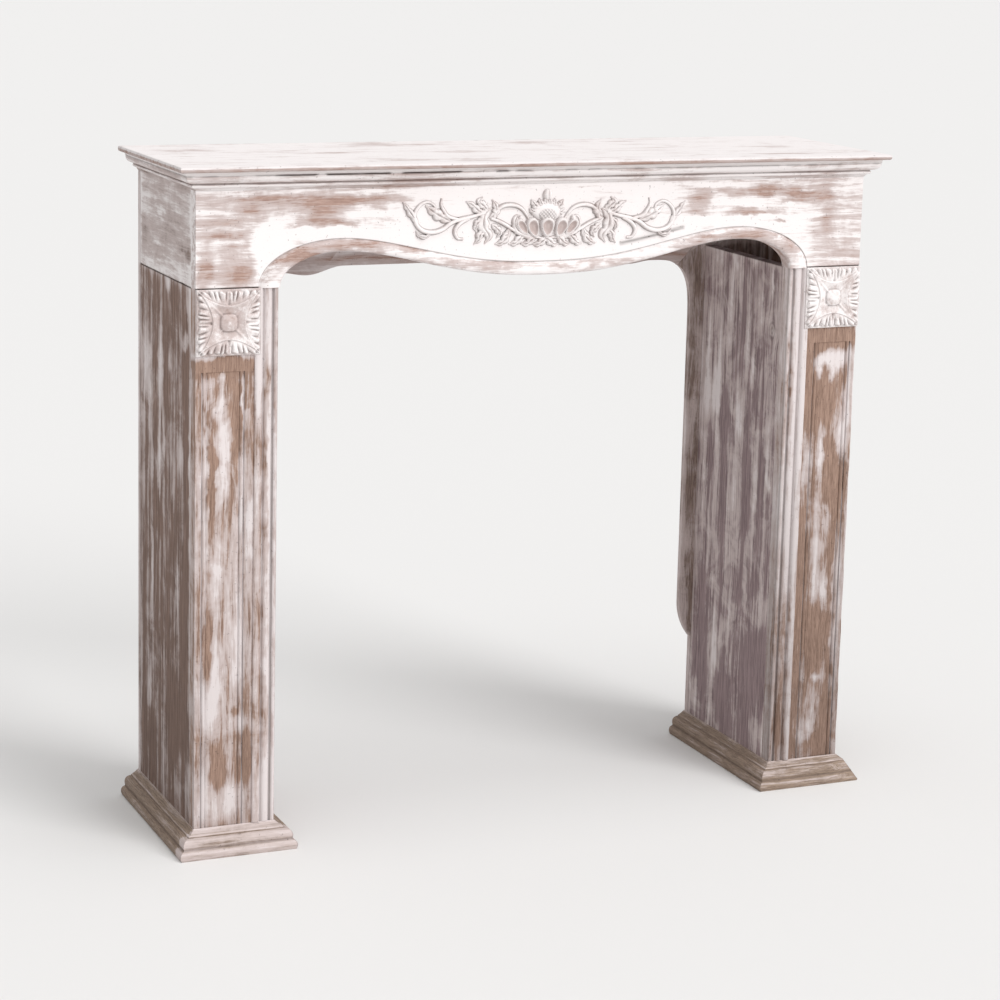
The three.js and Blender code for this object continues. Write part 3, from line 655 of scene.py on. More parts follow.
# Right leg front: z, x
RIGHT_FRONT_SPOTS = [
    (712, 490, 14, 46, -1.2), (683, 495, 10, 30, 1.7), (664, 472, 15, 4, 1.3), (664, 494, 13, 4, 1.3),
    (610, 523, 82, 4, 1.2), (635, 453, 72, 8, -1.1), (620, 485, 46, 20, -1.0), (520, 454, 62, 7, 1.2),
    (530, 483, 40, 4.5, 0.9), (562, 515, 28, 10, 1.0), (480, 510, 48, 17, -1.0), (410, 484, 34, 14, 0.55),
    (340, 483, 50, 9, 0.8), (310, 498, 22, 5, 0.9), (325, 520, 42, 8, 0.4), (370, 453, 130, 7, -0.9),
    (248, 480, 36, 20, -0.9), (228, 520, 28, 7, 0.7), (160, 521, 42, 4, 0.4), (175, 468, 52, 6, 0.5),
    (170, 489, 6, 5, 1.4), (120, 488, 32, 6, 0.6), (80, 475, 19, 15, 0.7), (65, 505, 9, 22, -0.9),
    (90, 452, 42, 4, -0.9), (160, 490, 170, 50, -0.3),
]

# Outer side of the left leg: z, y
LEFT_SIDE_SPOTS = [
    (690, 114, 52, 14, 0.9), (640, 100, 60, 6, 0.7), (690, 42, 46, 13, 1.0), (710, -4, 13, 8, 0.4),
    (560, 47, 58, 7, 0.8), (590, 25, 30, 5, 0.8), (575, -55, 32, 14, 0.6), (540, 65, 20, 36, 0.35),
    (375, 84, 58, 5, 0.8), (380, -45, 52, 5, 0.8), (570, -114, 95, 11, 0.9), (790, -108, 36, 17, 0.8),
    (745, -83, 9, 12, 0.9), (820, 5, 9, 10, 1.2), (180, 95, 36, 7, 0.6), (460, 46, 26, 8, -0.6),
    (180, -35, 52, 26, -0.6), (120, 100, 36, 30, -0.5), (330, -118, 120, 9, 0.8), (90, -60, 30, 60, 0.3),
    (480, -124, 200, 5, 0.7), (600, -88, 160, 8, -0.6), (300, -88, 160, 8, -0.5), (130, -118, 90, 8, 0.5),
]

# Inner side of the right leg: z, y
RIGHT_SIDE_SPOTS = [
    (595, 90, 36, 9, 1.0), (575, 115, 34, 26, 0.5), (575, 20, 52, 15, 0.75), (780, 22, 36, 7, 0.6),
    (643, -25, 23, 6, 1.2), (770, -45, 52, 6, 0.9), (800, -80, 22, 3, 1.6), (722, -84, 9, 6, 1.2),
    (479, -90, 8, 5, 1.2), (460, -48, 78, 7, 0.7), (600, -120, 105, 8, 0.7), (780, 93, 52, 5, 0.4),
    (340, 100, 58, 7, 0.6), (165, 65, 52, 10, 0.6), (290, -30, 62, 5, 0.7), (260, -68, 24, 22, 0.4),
    (170, -80, 46, 40, -0.9), (135, 118, 26, 30, -0.6), (110, 40, 52, 24, -0.7), (555, 60, 32, 18, -0.6),
    (75, -115, 20, 12, 0.7), (80, 133, 20, 14, 0.5), (815, 98, 18, 12, 0.9), (816, 44, 12, 5, 0.9),
    (820, -18, 8, 5, 0.9), (700, 60, 70, 7, 0.5), (680, -5, 60, 5, 0.5), (420, 25, 80, 8, 0.6),
    (520, -85, 70, 6, 0.6), (420, 118, 70, 6, 0.5), (660, 125, 60, 5, 0.6), (200, 20, 70, 6, 0.5),
]

# Left end of the header: y, z
HEADER_END_SPOTS = [
    (45, 919, 28, 5, 0.5), (150, 900, 10, 80, 0.4), (110, 836, 40, 6, 0.3), (-90, 838, 40, 8, 0.45),
    (-120, 930, 14, 60, 0.6), (-95, 868, 22, 6, -0.8), (-10, 890, 70, 30, -0.15), (120, 875, 30, 10, -0.3),
]

# Shelf top: x, y
SHELF_SPOTS = [
    (-150, 105, 90, 14, -0.4), (-490, 90, 40, 50, -0.3), (-180, 130, 30, 20, -0.35), (-270, 8, 40, 8, -0.45),
    (-40, 0, 160, 8, -0.25), (90, 110, 60, 22, -0.35), (240, 115, 40, 10, -0.3), (410, -112, 50, 8, -0.35),
    (-200, -110, 50, 10, -0.3), (420, -5, 60, 10, -0.3), (-120, -130, 60, 10, -0.25),
]


# Share of the cornice's section at its fullest
CORNICE_FULLEST = 0.97


def shelf_levels():
    """Rows of the shelf's edge as (reach, height), from the top round the arris down to the fillet."""
    top, thin = SHELF_HIGH[2], SHELF_EDGE
    setback = CORNICE_REACH / CORNICE_FULLEST
    points = [
        (SHELF_REACH - 4 * MM, top), (SHELF_REACH - 1.2 * MM, top - 0.2 * MM), (SHELF_REACH, top - 2.2 * MM),
        (SHELF_REACH - 0.2 * MM, top - 6.2 * MM), (SHELF_REACH - 2 * MM, top - thin),
        (setback + 1.5 * MM, top - thin - 0.2 * MM), (setback, top - thin - 1.4 * MM),
        (setback, BODY_TOP + 0.6 * MM), (setback - 1 * MM, BODY_TOP),
    ]
    return rounded_line(points, 2)


def crack_dashes(points):
    """Share of the joint under the shelf that stands open: dashes along X, most of them left of the
    middle."""
    dash = ease(ripple(points * (1, 0, 0), 0.03, 7), -0.15, 0.1)
    x = points[..., 0]
    return dash * (0.3 + 0.7 * ease(x, -0.44, -0.4) * (1 - ease(x, -0.12, 0.0)))


class MANTEL_OT_shelf(bpy.types.Operator):
    """Shelf board: rows of its edge carried round three sides, and grids for the top and underside."""

    bl_idname = "mantel.shelf"
    bl_label = "Shelf"

    def execute(self, context):
        shell = Shell()
        across = evenly(-1, 1, 0.011)
        deep = evenly(0, 1, 0.022)
        turn = len(deep)
        sides = [np.full(turn, -1.0), across[1:-1], np.full(turn, 1.0)]
        backs = [deep, np.full(len(across) - 2, 1.0), deep[::-1]]
        a, b = np.concatenate(sides), np.concatenate(backs)
        levels = shelf_levels()
        reach, height = levels[:, :1], levels[:, 1:]
        wear = context.scene.mantel_sizes.wear

        def place(a, b, reach, height):
            points = surface(
                a * (BODY_HALF + reach), BACK_Y - b * (BACK_Y - FACE_Y + reach), height,
            )
            nick = wear * np.clip(ripple(points, 0.05, 11) - 0.2, 0, None)
            nick = nick * (points[..., 2] > SHELF_HIGH[2] - SHELF_EDGE)
            edge = ease(reach, SHELF_REACH - 5 * MM, SHELF_REACH)
            points[..., 0] -= np.sign(a) * (np.abs(a) > 0.999) * nick * edge
            points[..., 1] += (b > 0.999) * nick * edge
            points[..., 2] -= 0.35 * nick * edge
            return points

        def cover(points):
            top = spots_field(points[..., 0], points[..., 1], SHELF_SPOTS)
            return 0.62 + top * (points[..., 2] > SHELF_HIGH[2] - 3 * MM)

        rim = place(a[None, :], b[None, :], reach, height)
        convex, hollow = bends(levels)
        drop = SHELF_HIGH[2] - height
        lower = 0.85 * (ease(drop, 2.4 * MM, 3.6 * MM) - ease(drop, 7.6 * MM, 8.6 * MM))
        opening = 1.3 * crack_dashes(rim) * np.exp(-(((height - BODY_TOP) / CRACK_SIZE) ** 2))
        # Hollows darken with dirt and painted shade, and the arris whitens with paint and a painted
        # highlight; the crack holds dirt.
        shell.add(rim, cover(rim) - lower, 0.5 * hollow[:, None] + opening, 0.8 * convex[:, None])
        for level in (levels[0], levels[-1]):
            sheet = place(across[None, :], deep[:, None], level[0], level[1])
            shell.add(sheet, cover(sheet))
        back = np.stack([rim[:, 0], rim[:, -1]])
        lines = evenly(0, 1, 1 / (len(across) - 1))[:, None, None]
        shell.add(back[0][None] * (1 - lines) + back[1][None] * lines, 0.2)
        finish_piece(shell, "shelf_plank", ["shelf_board"], "shelf", 50)
        return {"FINISHED"}


def cornice_section():
    """Cornice as (out, drop): ovolo, quirk, bead and cove, in shares of its reach and drop."""
    shares = [
        (0, 0), (0.97, 0), (0.97, 0.06), (0.95, 0.2), (0.85, 0.34), (0.68, 0.44), (0.5, 0.485), (0.37, 0.5),
        (0.35, 0.53), (0.36, 0.57), (0.42, 0.61), (0.43, 0.66), (0.42, 0.71), (0.36, 0.76), (0.29, 0.78),
        (0.2, 0.8), (0.12, 0.86), (0.07, 0.95), (0.05, 1), (0, 1),
    ]
    return rounded_line(shares, 1) * (CORNICE_REACH / CORNICE_FULLEST, CORNICE_DROP)


CORNICE_SPOTS = [
    (-360, 945, 120, 50, -0.5), (140, 980, 20, 12, -0.8), (-100, 975, 160, 12, -0.25),
    (430, 975, 60, 20, -0.3),
]


class MANTEL_OT_cornice(bpy.types.Operator):
    """Cornice under the shelf: one section carried along the front and both sides, mitred."""

    bl_idname = "mantel.cornice"
    bl_label = "Cornice"

    def execute(self, context):
        section = cornice_section() * (1, -1)

        def cover(points):
            worn = spots_field(points[..., 0], points[..., 2], CORNICE_SPOTS)
            # Painted light along the profile: lighter at the middle of the ovolo and of the lower members,
            # darker at the top, at the quirk and at the foot.
            profile_light_bands = np.cos(2 * np.pi * (points[..., 2] - BODY_TOP) / (0.5 * CORNICE_DROP))
            return 0.42 + 0.5 * worn + 0.2 * ripple(points * (1, 0, 0), 0.2, 5) - 0.12 * profile_light_bands

        def side_cover(points):
            return cover(points) - 0.25

        def crack(points):
            """Dirt in the joint under the shelf, broken into dashes, and along the quirk."""
            top = joint_dirt(points, [BODY_TOP], CRACK_SIZE) * crack_dashes(points)
            quirk = joint_dirt(points, [BODY_TOP - 0.54 * CORNICE_DROP])
            foot = joint_dirt(points, [BODY_TOP - 0.98 * CORNICE_DROP], 1.0 * MM)
            return 1.3 * top + 0.3 * quirk + 0.25 * foot

        def front(out, rise, s):
            return surface(s * (BODY_HALF + out - JOINT_GAP), FACE_Y - out, BODY_TOP + rise)

        shell = Shell()
        run(shell, section[::-1], front, evenly(-1, 1, 0.006), cover, 21, crack, 0.25)
        finish_piece(shell, "cornice_front_run", ["cornice_front"], "header")
        for name, side in SIDES.items():
            def flank(out, rise, s, side=side):
                y = BACK_Y - s * (BACK_Y - FACE_Y + out)
                return surface(side * (BODY_HALF + out), y, BODY_TOP + rise)

            shell = Shell()
            run(shell, section[::-1], flank, evenly(0, 1, 0.02), side_cover, 23 + side, crack, 0.35)
            finish_piece(
                shell, f"cornice_run_{name}", [f"cornice_{name}"], "header_end"
            )
        return {"FINISHED"}


def arch_line(t, sizes, foot, middle, crown):
    """Half of an arch line above the legs for t from 0 to 1: up to 0.6 a long smooth rise from the middle
    to the crown, then a quarter ellipse down to the foot."""
    crown_x = LEG_INNER - sizes.crown_inset
    split = 0.6
    rise = np.clip(t / split, 0, 1)
    eased = rise**1.3
    angle = np.clip((t - split) / (1 - split), 0, 1) * np.pi / 2
    x = crown_x * rise + (foot - crown_x) * np.sin(angle)
    height = (middle + (crown - middle) * eased**2 * (3 - 2 * eased)) * (t <= split)
    return x, LEG_TOP + height + crown * np.cos(angle) * (t > split)


RIM_PROFILE = [
    (0, 0.1), (0.03, 0.5), (0.12, 0.82), (0.3, 1), (0.52, 0.98), (0.72, 0.75), (0.88, 0.3), (0.96, -0.12),
    (1, 0),
]


# Groove cut over the rim on the right: its rise, half width, start and end
GROOVE_RISE = 14 * MM
GROOVE_SIZE = 2.2 * MM
GROOVE_FROM = 120 * MM
GROOVE_TO = 225 * MM


class MANTEL_OT_frieze(bpy.types.Operator):
    """Header front: loops round the board, one per station along the arch, from the top down the face,
    over the rim, under the soffit and up the back."""

    bl_idname = "mantel.frieze"
    bl_label = "Frieze"

    def execute(self, context):
        sizes = context.scene.mantel_sizes
        foot = LEG_INNER - sizes.arch_overhang
        t = evenly(0, 1, 0.0072)
        inner_x, inner_z = arch_line(t, sizes, foot, sizes.arch_middle, sizes.arch_crown)
        outer_x, outer_z = arch_line(
            t, sizes, foot + sizes.rim_foot, sizes.arch_middle + sizes.rim_middle,
            sizes.arch_crown + sizes.rim_crown,
        )
        plain = evenly(outer_x[-1], BODY_HALF, 3.5 * MM)
        level = np.full_like(plain, LEG_TOP)
        inner_x, inner_z = np.append(inner_x, plain), np.append(inner_z, level)
        outer_x, outer_z = np.append(outer_x, plain), np.append(outer_z, level)
        on_rim = (np.arange(len(outer_x)) < len(t)).astype(float)

        profile = rounded_line(RIM_PROFILE, 2)[::-1]
        down = 1 - (evenly(0, 1, 0.03) ** 1.25)[::-1]

        def rows(x0, z0, x1, z1, depth):
            """Points from one line to the other at each share, with a depth for each."""
            share, y = depth
            return surface(
                x0[:, None] + (x1 - x0)[:, None] * share, y, z0[:, None] + (z1 - z0)[:, None] * share,
            )

        top_z = np.full_like(outer_x, BODY_TOP)
        face = rows(outer_x, top_z, outer_x, outer_z, (down[None, :], FACE_Y))
        above = face[..., 2] - outer_z[:, None]
        nearness = np.exp(-(((above - GROOVE_RISE) / GROOVE_SIZE) ** 2))
        cut = nearness * (face[..., 0] > GROOVE_FROM) * (face[..., 0] < GROOVE_TO) * on_rim[:, None]
        share = profile[:, 0][None, :]
        forward = profile[:, 1][None, :] * sizes.rim_relief
        flat = np.linspace(0, 1, profile.shape[0])[None, :]
        rim_y = FACE_Y - forward * on_rim[:, None] + (1 - on_rim)[:, None] * flat * 4 * MM
        rim = rows(inner_x, inner_z, outer_x, outer_z, (share, rim_y))
        soffit_share = evenly(0, 1, 0.2)[None, :]
        soffit_y = rim_y[:, -1:] * (1 - soffit_share) + INNER_Y * soffit_share
        soffit = rows(inner_x, inner_z, inner_x, inner_z, (np.zeros((1, 6)), soffit_y))
        back = rows(inner_x, inner_z, outer_x, top_z, (evenly(0, 1, 0.05)[None, :], INNER_Y))
        lid_y = evenly(INNER_Y, FACE_Y, 6 * MM)[None, 1:-1]
        lid = rows(outer_x, top_z, outer_x, top_z, (np.zeros_like(lid_y), lid_y))
        half = np.concatenate([face, rim[:, 1:], soffit[:, 1:], back[:, 1:], lid], axis=1)
        counts = [face.shape[1], rim.shape[1] - 1, soffit.shape[1] - 1, back.shape[1] - 1, lid.shape[1]]
        kinds = np.repeat(np.arange(5), counts)

        mirrored = half[:0:-1] * (-1, 1, 1)
        whole = np.concatenate([mirrored, half])
        along = np.concatenate([on_rim[:0:-1], on_rim])
        x, z = whole[..., 0], whole[..., 2]
        cover = 0.36 + 0.9 * spots_field(x, z, HEADER_SPOTS)
        rim_cover = 0.36 + spots_field(x, z, RIM_SPOTS)
        cover = np.where((kinds[None, :] == 1) & (along[:, None] > 0), rim_cover, cover)
        cover = np.where(kinds[None, :] == 2, rim_cover - 0.3, cover)
        cover = np.where(kinds[None, :] > 2, 0.6, cover)
        crevice = np.zeros_like(x)
        # Along the outer line of the rim the colour darkens: dirt and painted shade in the crease. The cut
        # groove holds dirt.
        crevice[:, counts[0] - 1:counts[0] + 3] = 0.75 * along[:, None]
        incised = np.concatenate([0 * cut[:0:-1], cut])
        whole[:, :counts[0], 1] += 1.1 * MM * incised
        crevice[:, :counts[0]] += 0.9 * incised
        seam = joint_dirt(whole, [LEG_TOP]) * (1 - along[:, None])
        crevice += seam * (whole[..., 1] < FACE_Y + 3 * MM)
        rounding = 2.2 * MM
        lift = np.clip(1 - (z - LEG_TOP) / rounding, 0, 1) * (1 - along[:, None]) * (kinds[None, :] == 0)
        whole[..., 1] += rounding * (1 - np.sqrt(1 - lift**2))
        # The rim whitens along its edge with paint and a painted highlight, and is dented there.
        edge = np.where(kinds == 1, 1.0, 0.0)[None, :] * along[:, None]
        whole[..., 1] += edge * 0.35 * sizes.wear * (1 + ripple(whole, 0.02, 31))
        shell = Shell()
        shell.add(whole, cover, crevice, 0.5 * edge, wrap=True, caps=True)
        finish_piece(shell, "frieze_board", ["frieze_front"], "header", 45)
        return {"FINISHED"}


class MANTEL_OT_header_ends(bpy.types.Operator):
    """End boards of the header: boxes with rounded, worn edges."""

    bl_idname = "mantel.header_ends"
    bl_label = "Header ends"

    def execute(self, context):
        def cover(points):
            inside = np.abs(points[..., 0]) < BODY_HALF - 8 * MM
            return 0.2 + 0.9 * spots_field(points[..., 1], points[..., 2], HEADER_END_SPOTS) + 0.7 * inside

        for name, side in SIDES.items():
            low, high = corners(f"frieze_end_{name}")
            shell = Shell()
            block(shell, low, high, 4 * MM, cover, 41 + side, [low[2]])
            finish_piece(
                shell, f"frieze_end_board_{name}", [f"frieze_end_{name}"], "header_end"
            )
        return {"FINISHED"}


# Carving at the middle of the frieze: control points as shares of its half width and height
CARVING_HALF_MM = 228
CARVING_HEIGHT_MM = 86
CARVING_WIDTH = 2 * CARVING_HALF_MM * MM
CARVING_HEIGHT = CARVING_HEIGHT_MM * MM
CARVING_RISE_MM = 21
CARVING_RELIEF = 8 * MM
CARVING_TILT = math.radians(1)
CARVING_SUNK = 0.6 * MM

STEMS = [
    ([(0.43, 0.6), (0.52, 0.53), (0.59, 0.49), (0.66, 0.43), (0.72, 0.32), (0.79, 0.27), (0.86, 0.31),
      (0.905, 0.44), (0.91, 0.6), (0.875, 0.73), (0.825, 0.78), (0.78, 0.72), (0.775, 0.64)], 7.5),
    ([(0.37, 0.48), (0.36, 0.6), (0.315, 0.7), (0.25, 0.725), (0.19, 0.68), (0.15, 0.58), (0.12, 0.45),
      (0.1, 0.34)], 6.5),
    ([(0.39, 0.5), (0.34, 0.455), (0.285, 0.385), (0.23, 0.3), (0.155, 0.22), (0.08, 0.17),
      (-0.02, 0.16)], 6),
    ([(0.6, 0.48), (0.68, 0.53), (0.715, 0.63), (0.735, 0.74), (0.73, 0.84)], 6),
    ([(0.54, 0.5), (0.605, 0.41), (0.635, 0.29), (0.615, 0.17), (0.575, 0.15)], 7),
]

LEAVES = [
    ([(0.66, 0.45), (0.73, 0.53), (0.79, 0.62), (0.84, 0.72)], 17),
    ([(0.88, 0.38), (0.925, 0.54), (0.965, 0.68), (0.995, 0.78)], 10),
    ([(0.44, 0.58), (0.48, 0.63), (0.52, 0.72), (0.565, 0.79)], 12),
    ([(0.39, 0.66), (0.435, 0.56), (0.44, 0.36), (0.4, 0.2), (0.425, 0.07)], 19),
    ([(0.4, 0.5), (0.36, 0.58), (0.36, 0.7), (0.385, 0.82)], 13),
    ([(0.42, 0.3), (0.46, 0.24), (0.47, 0.14), (0.5, 0.06)], 12),
    ([(0.41, 0.6), (0.44, 0.7), (0.475, 0.78), (0.45, 0.86)], 12),
    ([(0.44, 0.5), (0.475, 0.45), (0.495, 0.36), (0.485, 0.26)], 10),
    ([(0.385, 0.4), (0.35, 0.33), (0.325, 0.25), (0.345, 0.16)], 11),
    ([(0.79, 0.3), (0.83, 0.2), (0.88, 0.22), (0.9, 0.3)], 6),
    ([(0.26, 0.34), (0.27, 0.24), (0.3, 0.17), (0.27, 0.1)], 9),
] + [
    ([(u, v), (u + 0.015, 0.13 + 0.02 * i), (u + 0.055, 0.055 + 0.01 * i), (u + 0.095, 0.06)], 12)
    for i, (u, v) in enumerate([(0.0, 0.15), (0.08, 0.17), (0.165, 0.22), (0.26, 0.35)])
]

CARVING_BOTTOM = LEG_TOP + (ARCH_MIDDLE_MM + RIM_MIDDLE_MM + CARVING_RISE_MM) * MM


def carving_place(x, z, forward):
    """Point of the carving, turned by the tilt about its middle."""
    middle = CARVING_BOTTOM + CARVING_HEIGHT / 2
    rise = z - middle
    cosine, sine = math.cos(CARVING_TILT), math.sin(CARVING_TILT)
    return surface(
        x * cosine + rise * sine, FACE_Y - forward, middle + rise * cosine - x * sine,
    )


def strand(shell, controls, side, width, height, veined, count=40):
    """Carved strand: a section of 17 points carried along a Catmull-Rom path. A stem is half round. A
    leaf is lens shaped in plan, with a sunk vein, ribs that slant to its edge and a raised tip."""
    places = [(u * CARVING_WIDTH / 2, CARVING_BOTTOM + v * CARVING_HEIGHT) for u, v in controls]
    path = smooth_path(places, count)
    skirt = 1.3 * MM / width
    along = np.gradient(path, axis=0)
    along /= np.maximum(np.linalg.norm(along, axis=1, keepdims=True), 1e-9)
    t = np.linspace(0, 1, count)[:, None]
    a = np.linspace(-0.5, 0.5, 17)
    a = np.concatenate([[-0.5 - skirt], a, [0.5 + skirt]])[None, :]
    edge = np.clip(1 - np.abs(2 * a) ** 2.4, 0, 1)
    if veined:
        size = 0.12 + 0.88 * np.sin(np.pi * t**0.8)
        lobes = 0.62 + 0.42 * np.abs(np.sin(np.pi * (3.5 * t - 0.15))) ** 0.6
        vein = 1 - 0.5 * np.exp(-((a / 0.07) ** 2))
        ribs = 1 + 0.1 * np.cos(2 * np.pi * (3.5 * t - 0.65 + 1.1 * (0.5 - np.abs(a))))
        up = edge**0.5 * vein * ribs * (0.7 + 0.3 * t) * np.maximum(size, 0.3)
        spread = size * lobes
    else:
        size = 0.55 + 0.45 * np.sin(np.pi * np.minimum(1, 0.15 + t))
        up = edge**0.5 * np.maximum(size, 0.3)
        spread = size
    x = side * (path[:, :1] - along[:, 1:] * a * width * spread)
    z = path[:, 1:] + along[:, :1] * a * width * spread
    top = carving_place(x, z, up * height + 0.05 * MM)
    floor = carving_place(x[:, ::-1], z[:, ::-1], np.full_like(x, -CARVING_SUNK))
    loop = np.concatenate([top, floor], axis=1)
    # Valleys, the vein, the ribs and the sunk foot darken with dirt and painted shade of the outlines; high
    # crests whiten with paint and a painted highlight.
    valley = np.clip(1 - edge * 1.8, 0, 0.85)
    if veined:
        valley = valley + (0.6 * np.exp(-((a / 0.07) ** 2)) + 2 * (1 - ribs))
    valley = np.concatenate([np.broadcast_to(valley, x.shape), np.ones_like(x)], axis=1)
    crest = np.concatenate([np.clip(up - 0.6, 0, 1) * np.ones_like(x), np.zeros_like(x)], axis=1)
    shell.add(loop, 0.45, 0.8 * np.clip(valley, 0, 1), crest, wrap=True, caps=True)


def rounded(r, x, z):
    """Height of a plain dome: the root of 1 - r to the power 2.4."""
    return np.sqrt(np.clip(1 - r**2.4, 0, 1))


def boss(shell, u, v, half_width, half_height, forward, height, cover=None, hollow=None, lean=0.0, taper=0.0):
    """Domed form over an ellipse: rings of radius r, with height(r, x, z) for its surface, where x and z
    run from -1 to 1 across the ellipse. It leans by an angle to the right, and a taper narrows its foot."""
    r = np.sin(np.linspace(0, np.pi / 2, 22))[:, None]
    spokes = 72
    angle = np.linspace(0, 2 * np.pi, spokes + 1)[None, :-1]
    x, z = r * np.cos(angle), r * np.sin(angle)
    rise = height(r, x, z)
    cosine, sine = math.cos(lean), math.sin(lean)
    wide = half_width * x * (1 - taper * (1 - z) / 2)
    across = u * CARVING_WIDTH / 2 + wide * cosine + half_height * z * sine
    upward = CARVING_BOTTOM + v * CARVING_HEIGHT + half_height * z * cosine - wide * sine
    top = carving_place(across, upward, forward * rise)
    foot = carving_place(across[-1:], upward[-1:], np.full((1, spokes), -CARVING_SUNK))
    # The rim of each dome, its hollows and its foot darken with dirt and painted shade of the outline.
    dark = np.clip(1.6 * (r - 0.72), 0, 0.7) + (hollow(r, x, z) if hollow else 0) + 0 * x
    points = np.concatenate([top, foot, foot * 0 + foot.mean(axis=1, keepdims=True)])
    dark = np.concatenate([dark, np.ones((2, spokes))])
    paint = (cover(r, x, z) if cover else 0.5) + 0 * x
    shell.add(points, np.concatenate([paint, paint[-2:]]), dark, 0, wrap=True)


# Petals of the basket in millimetres and degrees: centre across, its height as a share of the carving's,
# half length, half width, lean
BASKET_PETALS = [(39, 0.35, 15, 9, 38), (22, 0.335, 16, 13, 20), (0, 0.345, 15.5, 15, 0)]

# Leaves of the crown in degrees and millimetres: angle from upright, foot, tip, width
CROWN_LEAVES = ((8, 12, 25, 9), (30, 13, 27, 10), (52, 15, 34, 12), (75, 16, 30, 10))
BASKET_CURL = [(0.03, 0.17), (0.12, 0.19), (0.19, 0.27), (0.225, 0.4), (0.21, 0.52), (0.18, 0.52)]


def flower_basket(shell):
    """Middle of the carving: a fan of hollow petals between two curled leaves, a dome of seeds over them in
    a crown of small leaves, and a bud on top."""
    def petal(r, x, z):
        return np.clip(1 - r**8, 0, 1) ** 0.5 * (0.5 + 0.5 * ease(r, 0.3, 0.85)) * (0.85 + 0.15 * z)

    def petal_cover(r, x, z):
        return 0.5 - 0.5 * ease(r, 0.85, 0.55)

    def petal_hollow(r, x, z):
        return 0.16 * ease(r, 0.9, 0.6) * (1 + 0.5 * np.cos(9 * x))

    def lattice(x, z):
        return np.abs(np.sin(10 * x + 6 * z)) * np.abs(np.sin(10 * x - 6 * z))

    def seeds(r, x, z):
        return rounded(r, x, z) * (0.78 + 0.22 * lattice(x, z))

    def seed_hollow(r, x, z):
        return 0.9 * (1 - lattice(x, z) ** 0.5)

    def bud(r, x, z):
        return rounded(r, x, z) * (1 - 0.4 * np.exp(-((x / 0.16) ** 2)))

    relief = CARVING_RELIEF
    boss(shell, 0, 0.62, 25 * MM, 16 * MM, relief * 0.8, rounded)
    for side in (-1, 1):
        for angle, inner, outer, width in CROWN_LEAVES:
            turn = math.radians(angle)
            ring = [
                (r * math.sin(turn + bend) / CARVING_HALF_MM,
                 0.56 + r * math.cos(turn + bend) / CARVING_HEIGHT_MM)
                for r, bend in ((inner, 0), ((inner + outer) / 2, 0.06), (outer, -0.04))
            ]
            strand(shell, ring, side, width * MM, relief * 0.95, True, 24)
    boss(shell, 0, 0.57, 17 * MM, 11 * MM, relief * 1.3, seeds, None, seed_hollow)
    for across, rise, long, wide, lean in BASKET_PETALS:
        for side in (-1, 1) if across else (1,):
            boss(
                shell, side * across * 2 * MM / CARVING_WIDTH, rise, wide * MM, long * MM,
                relief * (1.4 - 0.008 * across), petal, petal_cover, petal_hollow,
                side * math.radians(lean), 0.55,
            )
    for side in (-1, 1):
        strand(shell, BASKET_CURL, side, 12 * MM, relief * 0.9, True)
        boss(shell, side * 0.185, 0.5, 4 * MM, 4.5 * MM, relief * 0.9, rounded)
    boss(shell, 0, 0.9, 7.5 * MM, 8.5 * MM, relief * 0.9, bud)


class MANTEL_OT_carving(bpy.types.Operator):
    """Applied carving of the frieze: stems, leaves and the flower basket."""

    bl_idname = "mantel.carving"
    bl_label = "Frieze carving"

    def execute(self, context):
        shell = Shell()
        for side in (-1, 1):
            for controls, width in STEMS:
                strand(shell, controls, side, 0.85 * width * MM, CARVING_RELIEF * 0.62, False, 48)
            boss(shell, side * 0.775, 0.63, 4 * MM, 4 * MM, CARVING_RELIEF * 0.8, rounded)
            for controls, width in LEAVES:
                strand(shell, controls, side, width * MM, CARVING_RELIEF * 0.8, True)
        flower_basket(shell)
        finish_piece(shell, "frieze_ornament", ["frieze_carving"], "carving", 60)
        return {"FINISHED"}


def rosette_height(out, ray):
    """Height of the rosette in shares of its relief, for the share out of a point from the middle to the
    edge, and its ray, -1 and 1 on the diagonals. A rounded square boss sits in a dish that rises to four
    bows. Ridges run along the diagonals, and beyond each bow leaf fingers fan out to the edge."""
    along = ray * out
    bow = 0.5 + 0.47 * np.abs(along) ** 1.8
    share = np.clip((out - bow) / np.maximum(1 - bow, 0.05), 0, 1)
    arm = np.exp(-(((1 - np.abs(ray)) * out / 0.055) ** 2))
    dish = 0.05 + 0.7 * np.clip(out / bow, 0, 1) ** 2.4 + 0.4 * arm * (1 - out)
    fan = along / (0.42 + 0.58 * out)
    wander = 0.16 * np.sin(9 * fan + 2) + 0.1 * np.sin(17 * fan + 5 * out)
    lobe = np.abs(np.cos(np.pi * (5.0 * fan + wander))) ** 0.7
    groove = 1 - lobe
    finger = 0.42 + 0.34 * np.sin(np.pi * (0.05 + 0.7 * share)) - 0.72 * ease(share, 0.05, 0.6) * groove
    slot = np.exp(-((along / 0.045) ** 2)) * ease(share, 0.02, 0.12)
    finger = finger - 0.4 * slot
    reach = 0.93 - 0.06 * groove + 0.02 * np.sin(23 * fan + 1)
    finger = 0.1 + (finger - 0.1) * (1 - ease(out, reach - 0.03, reach + 0.05))
    beyond = ease(out, bow - 0.01, bow + 0.03)
    field = dish * (1 - beyond) + finger * beyond
    square = (np.abs(along) ** 3 + out**3) ** (1 / 3) / 0.26
    boss_top = 0.98 - 0.42 * square**2
    mask = 1 - ease(square, 0.93, 1.07)
    return np.clip(boss_top * mask + field * (1 - mask), 0, 1)


ROSETTE_EDGE = 4 * MM
ROSETTE_COVER = {"left": 0.24, "right": 0.42}
BLUR_SHIFTS = (1, 2, 4)


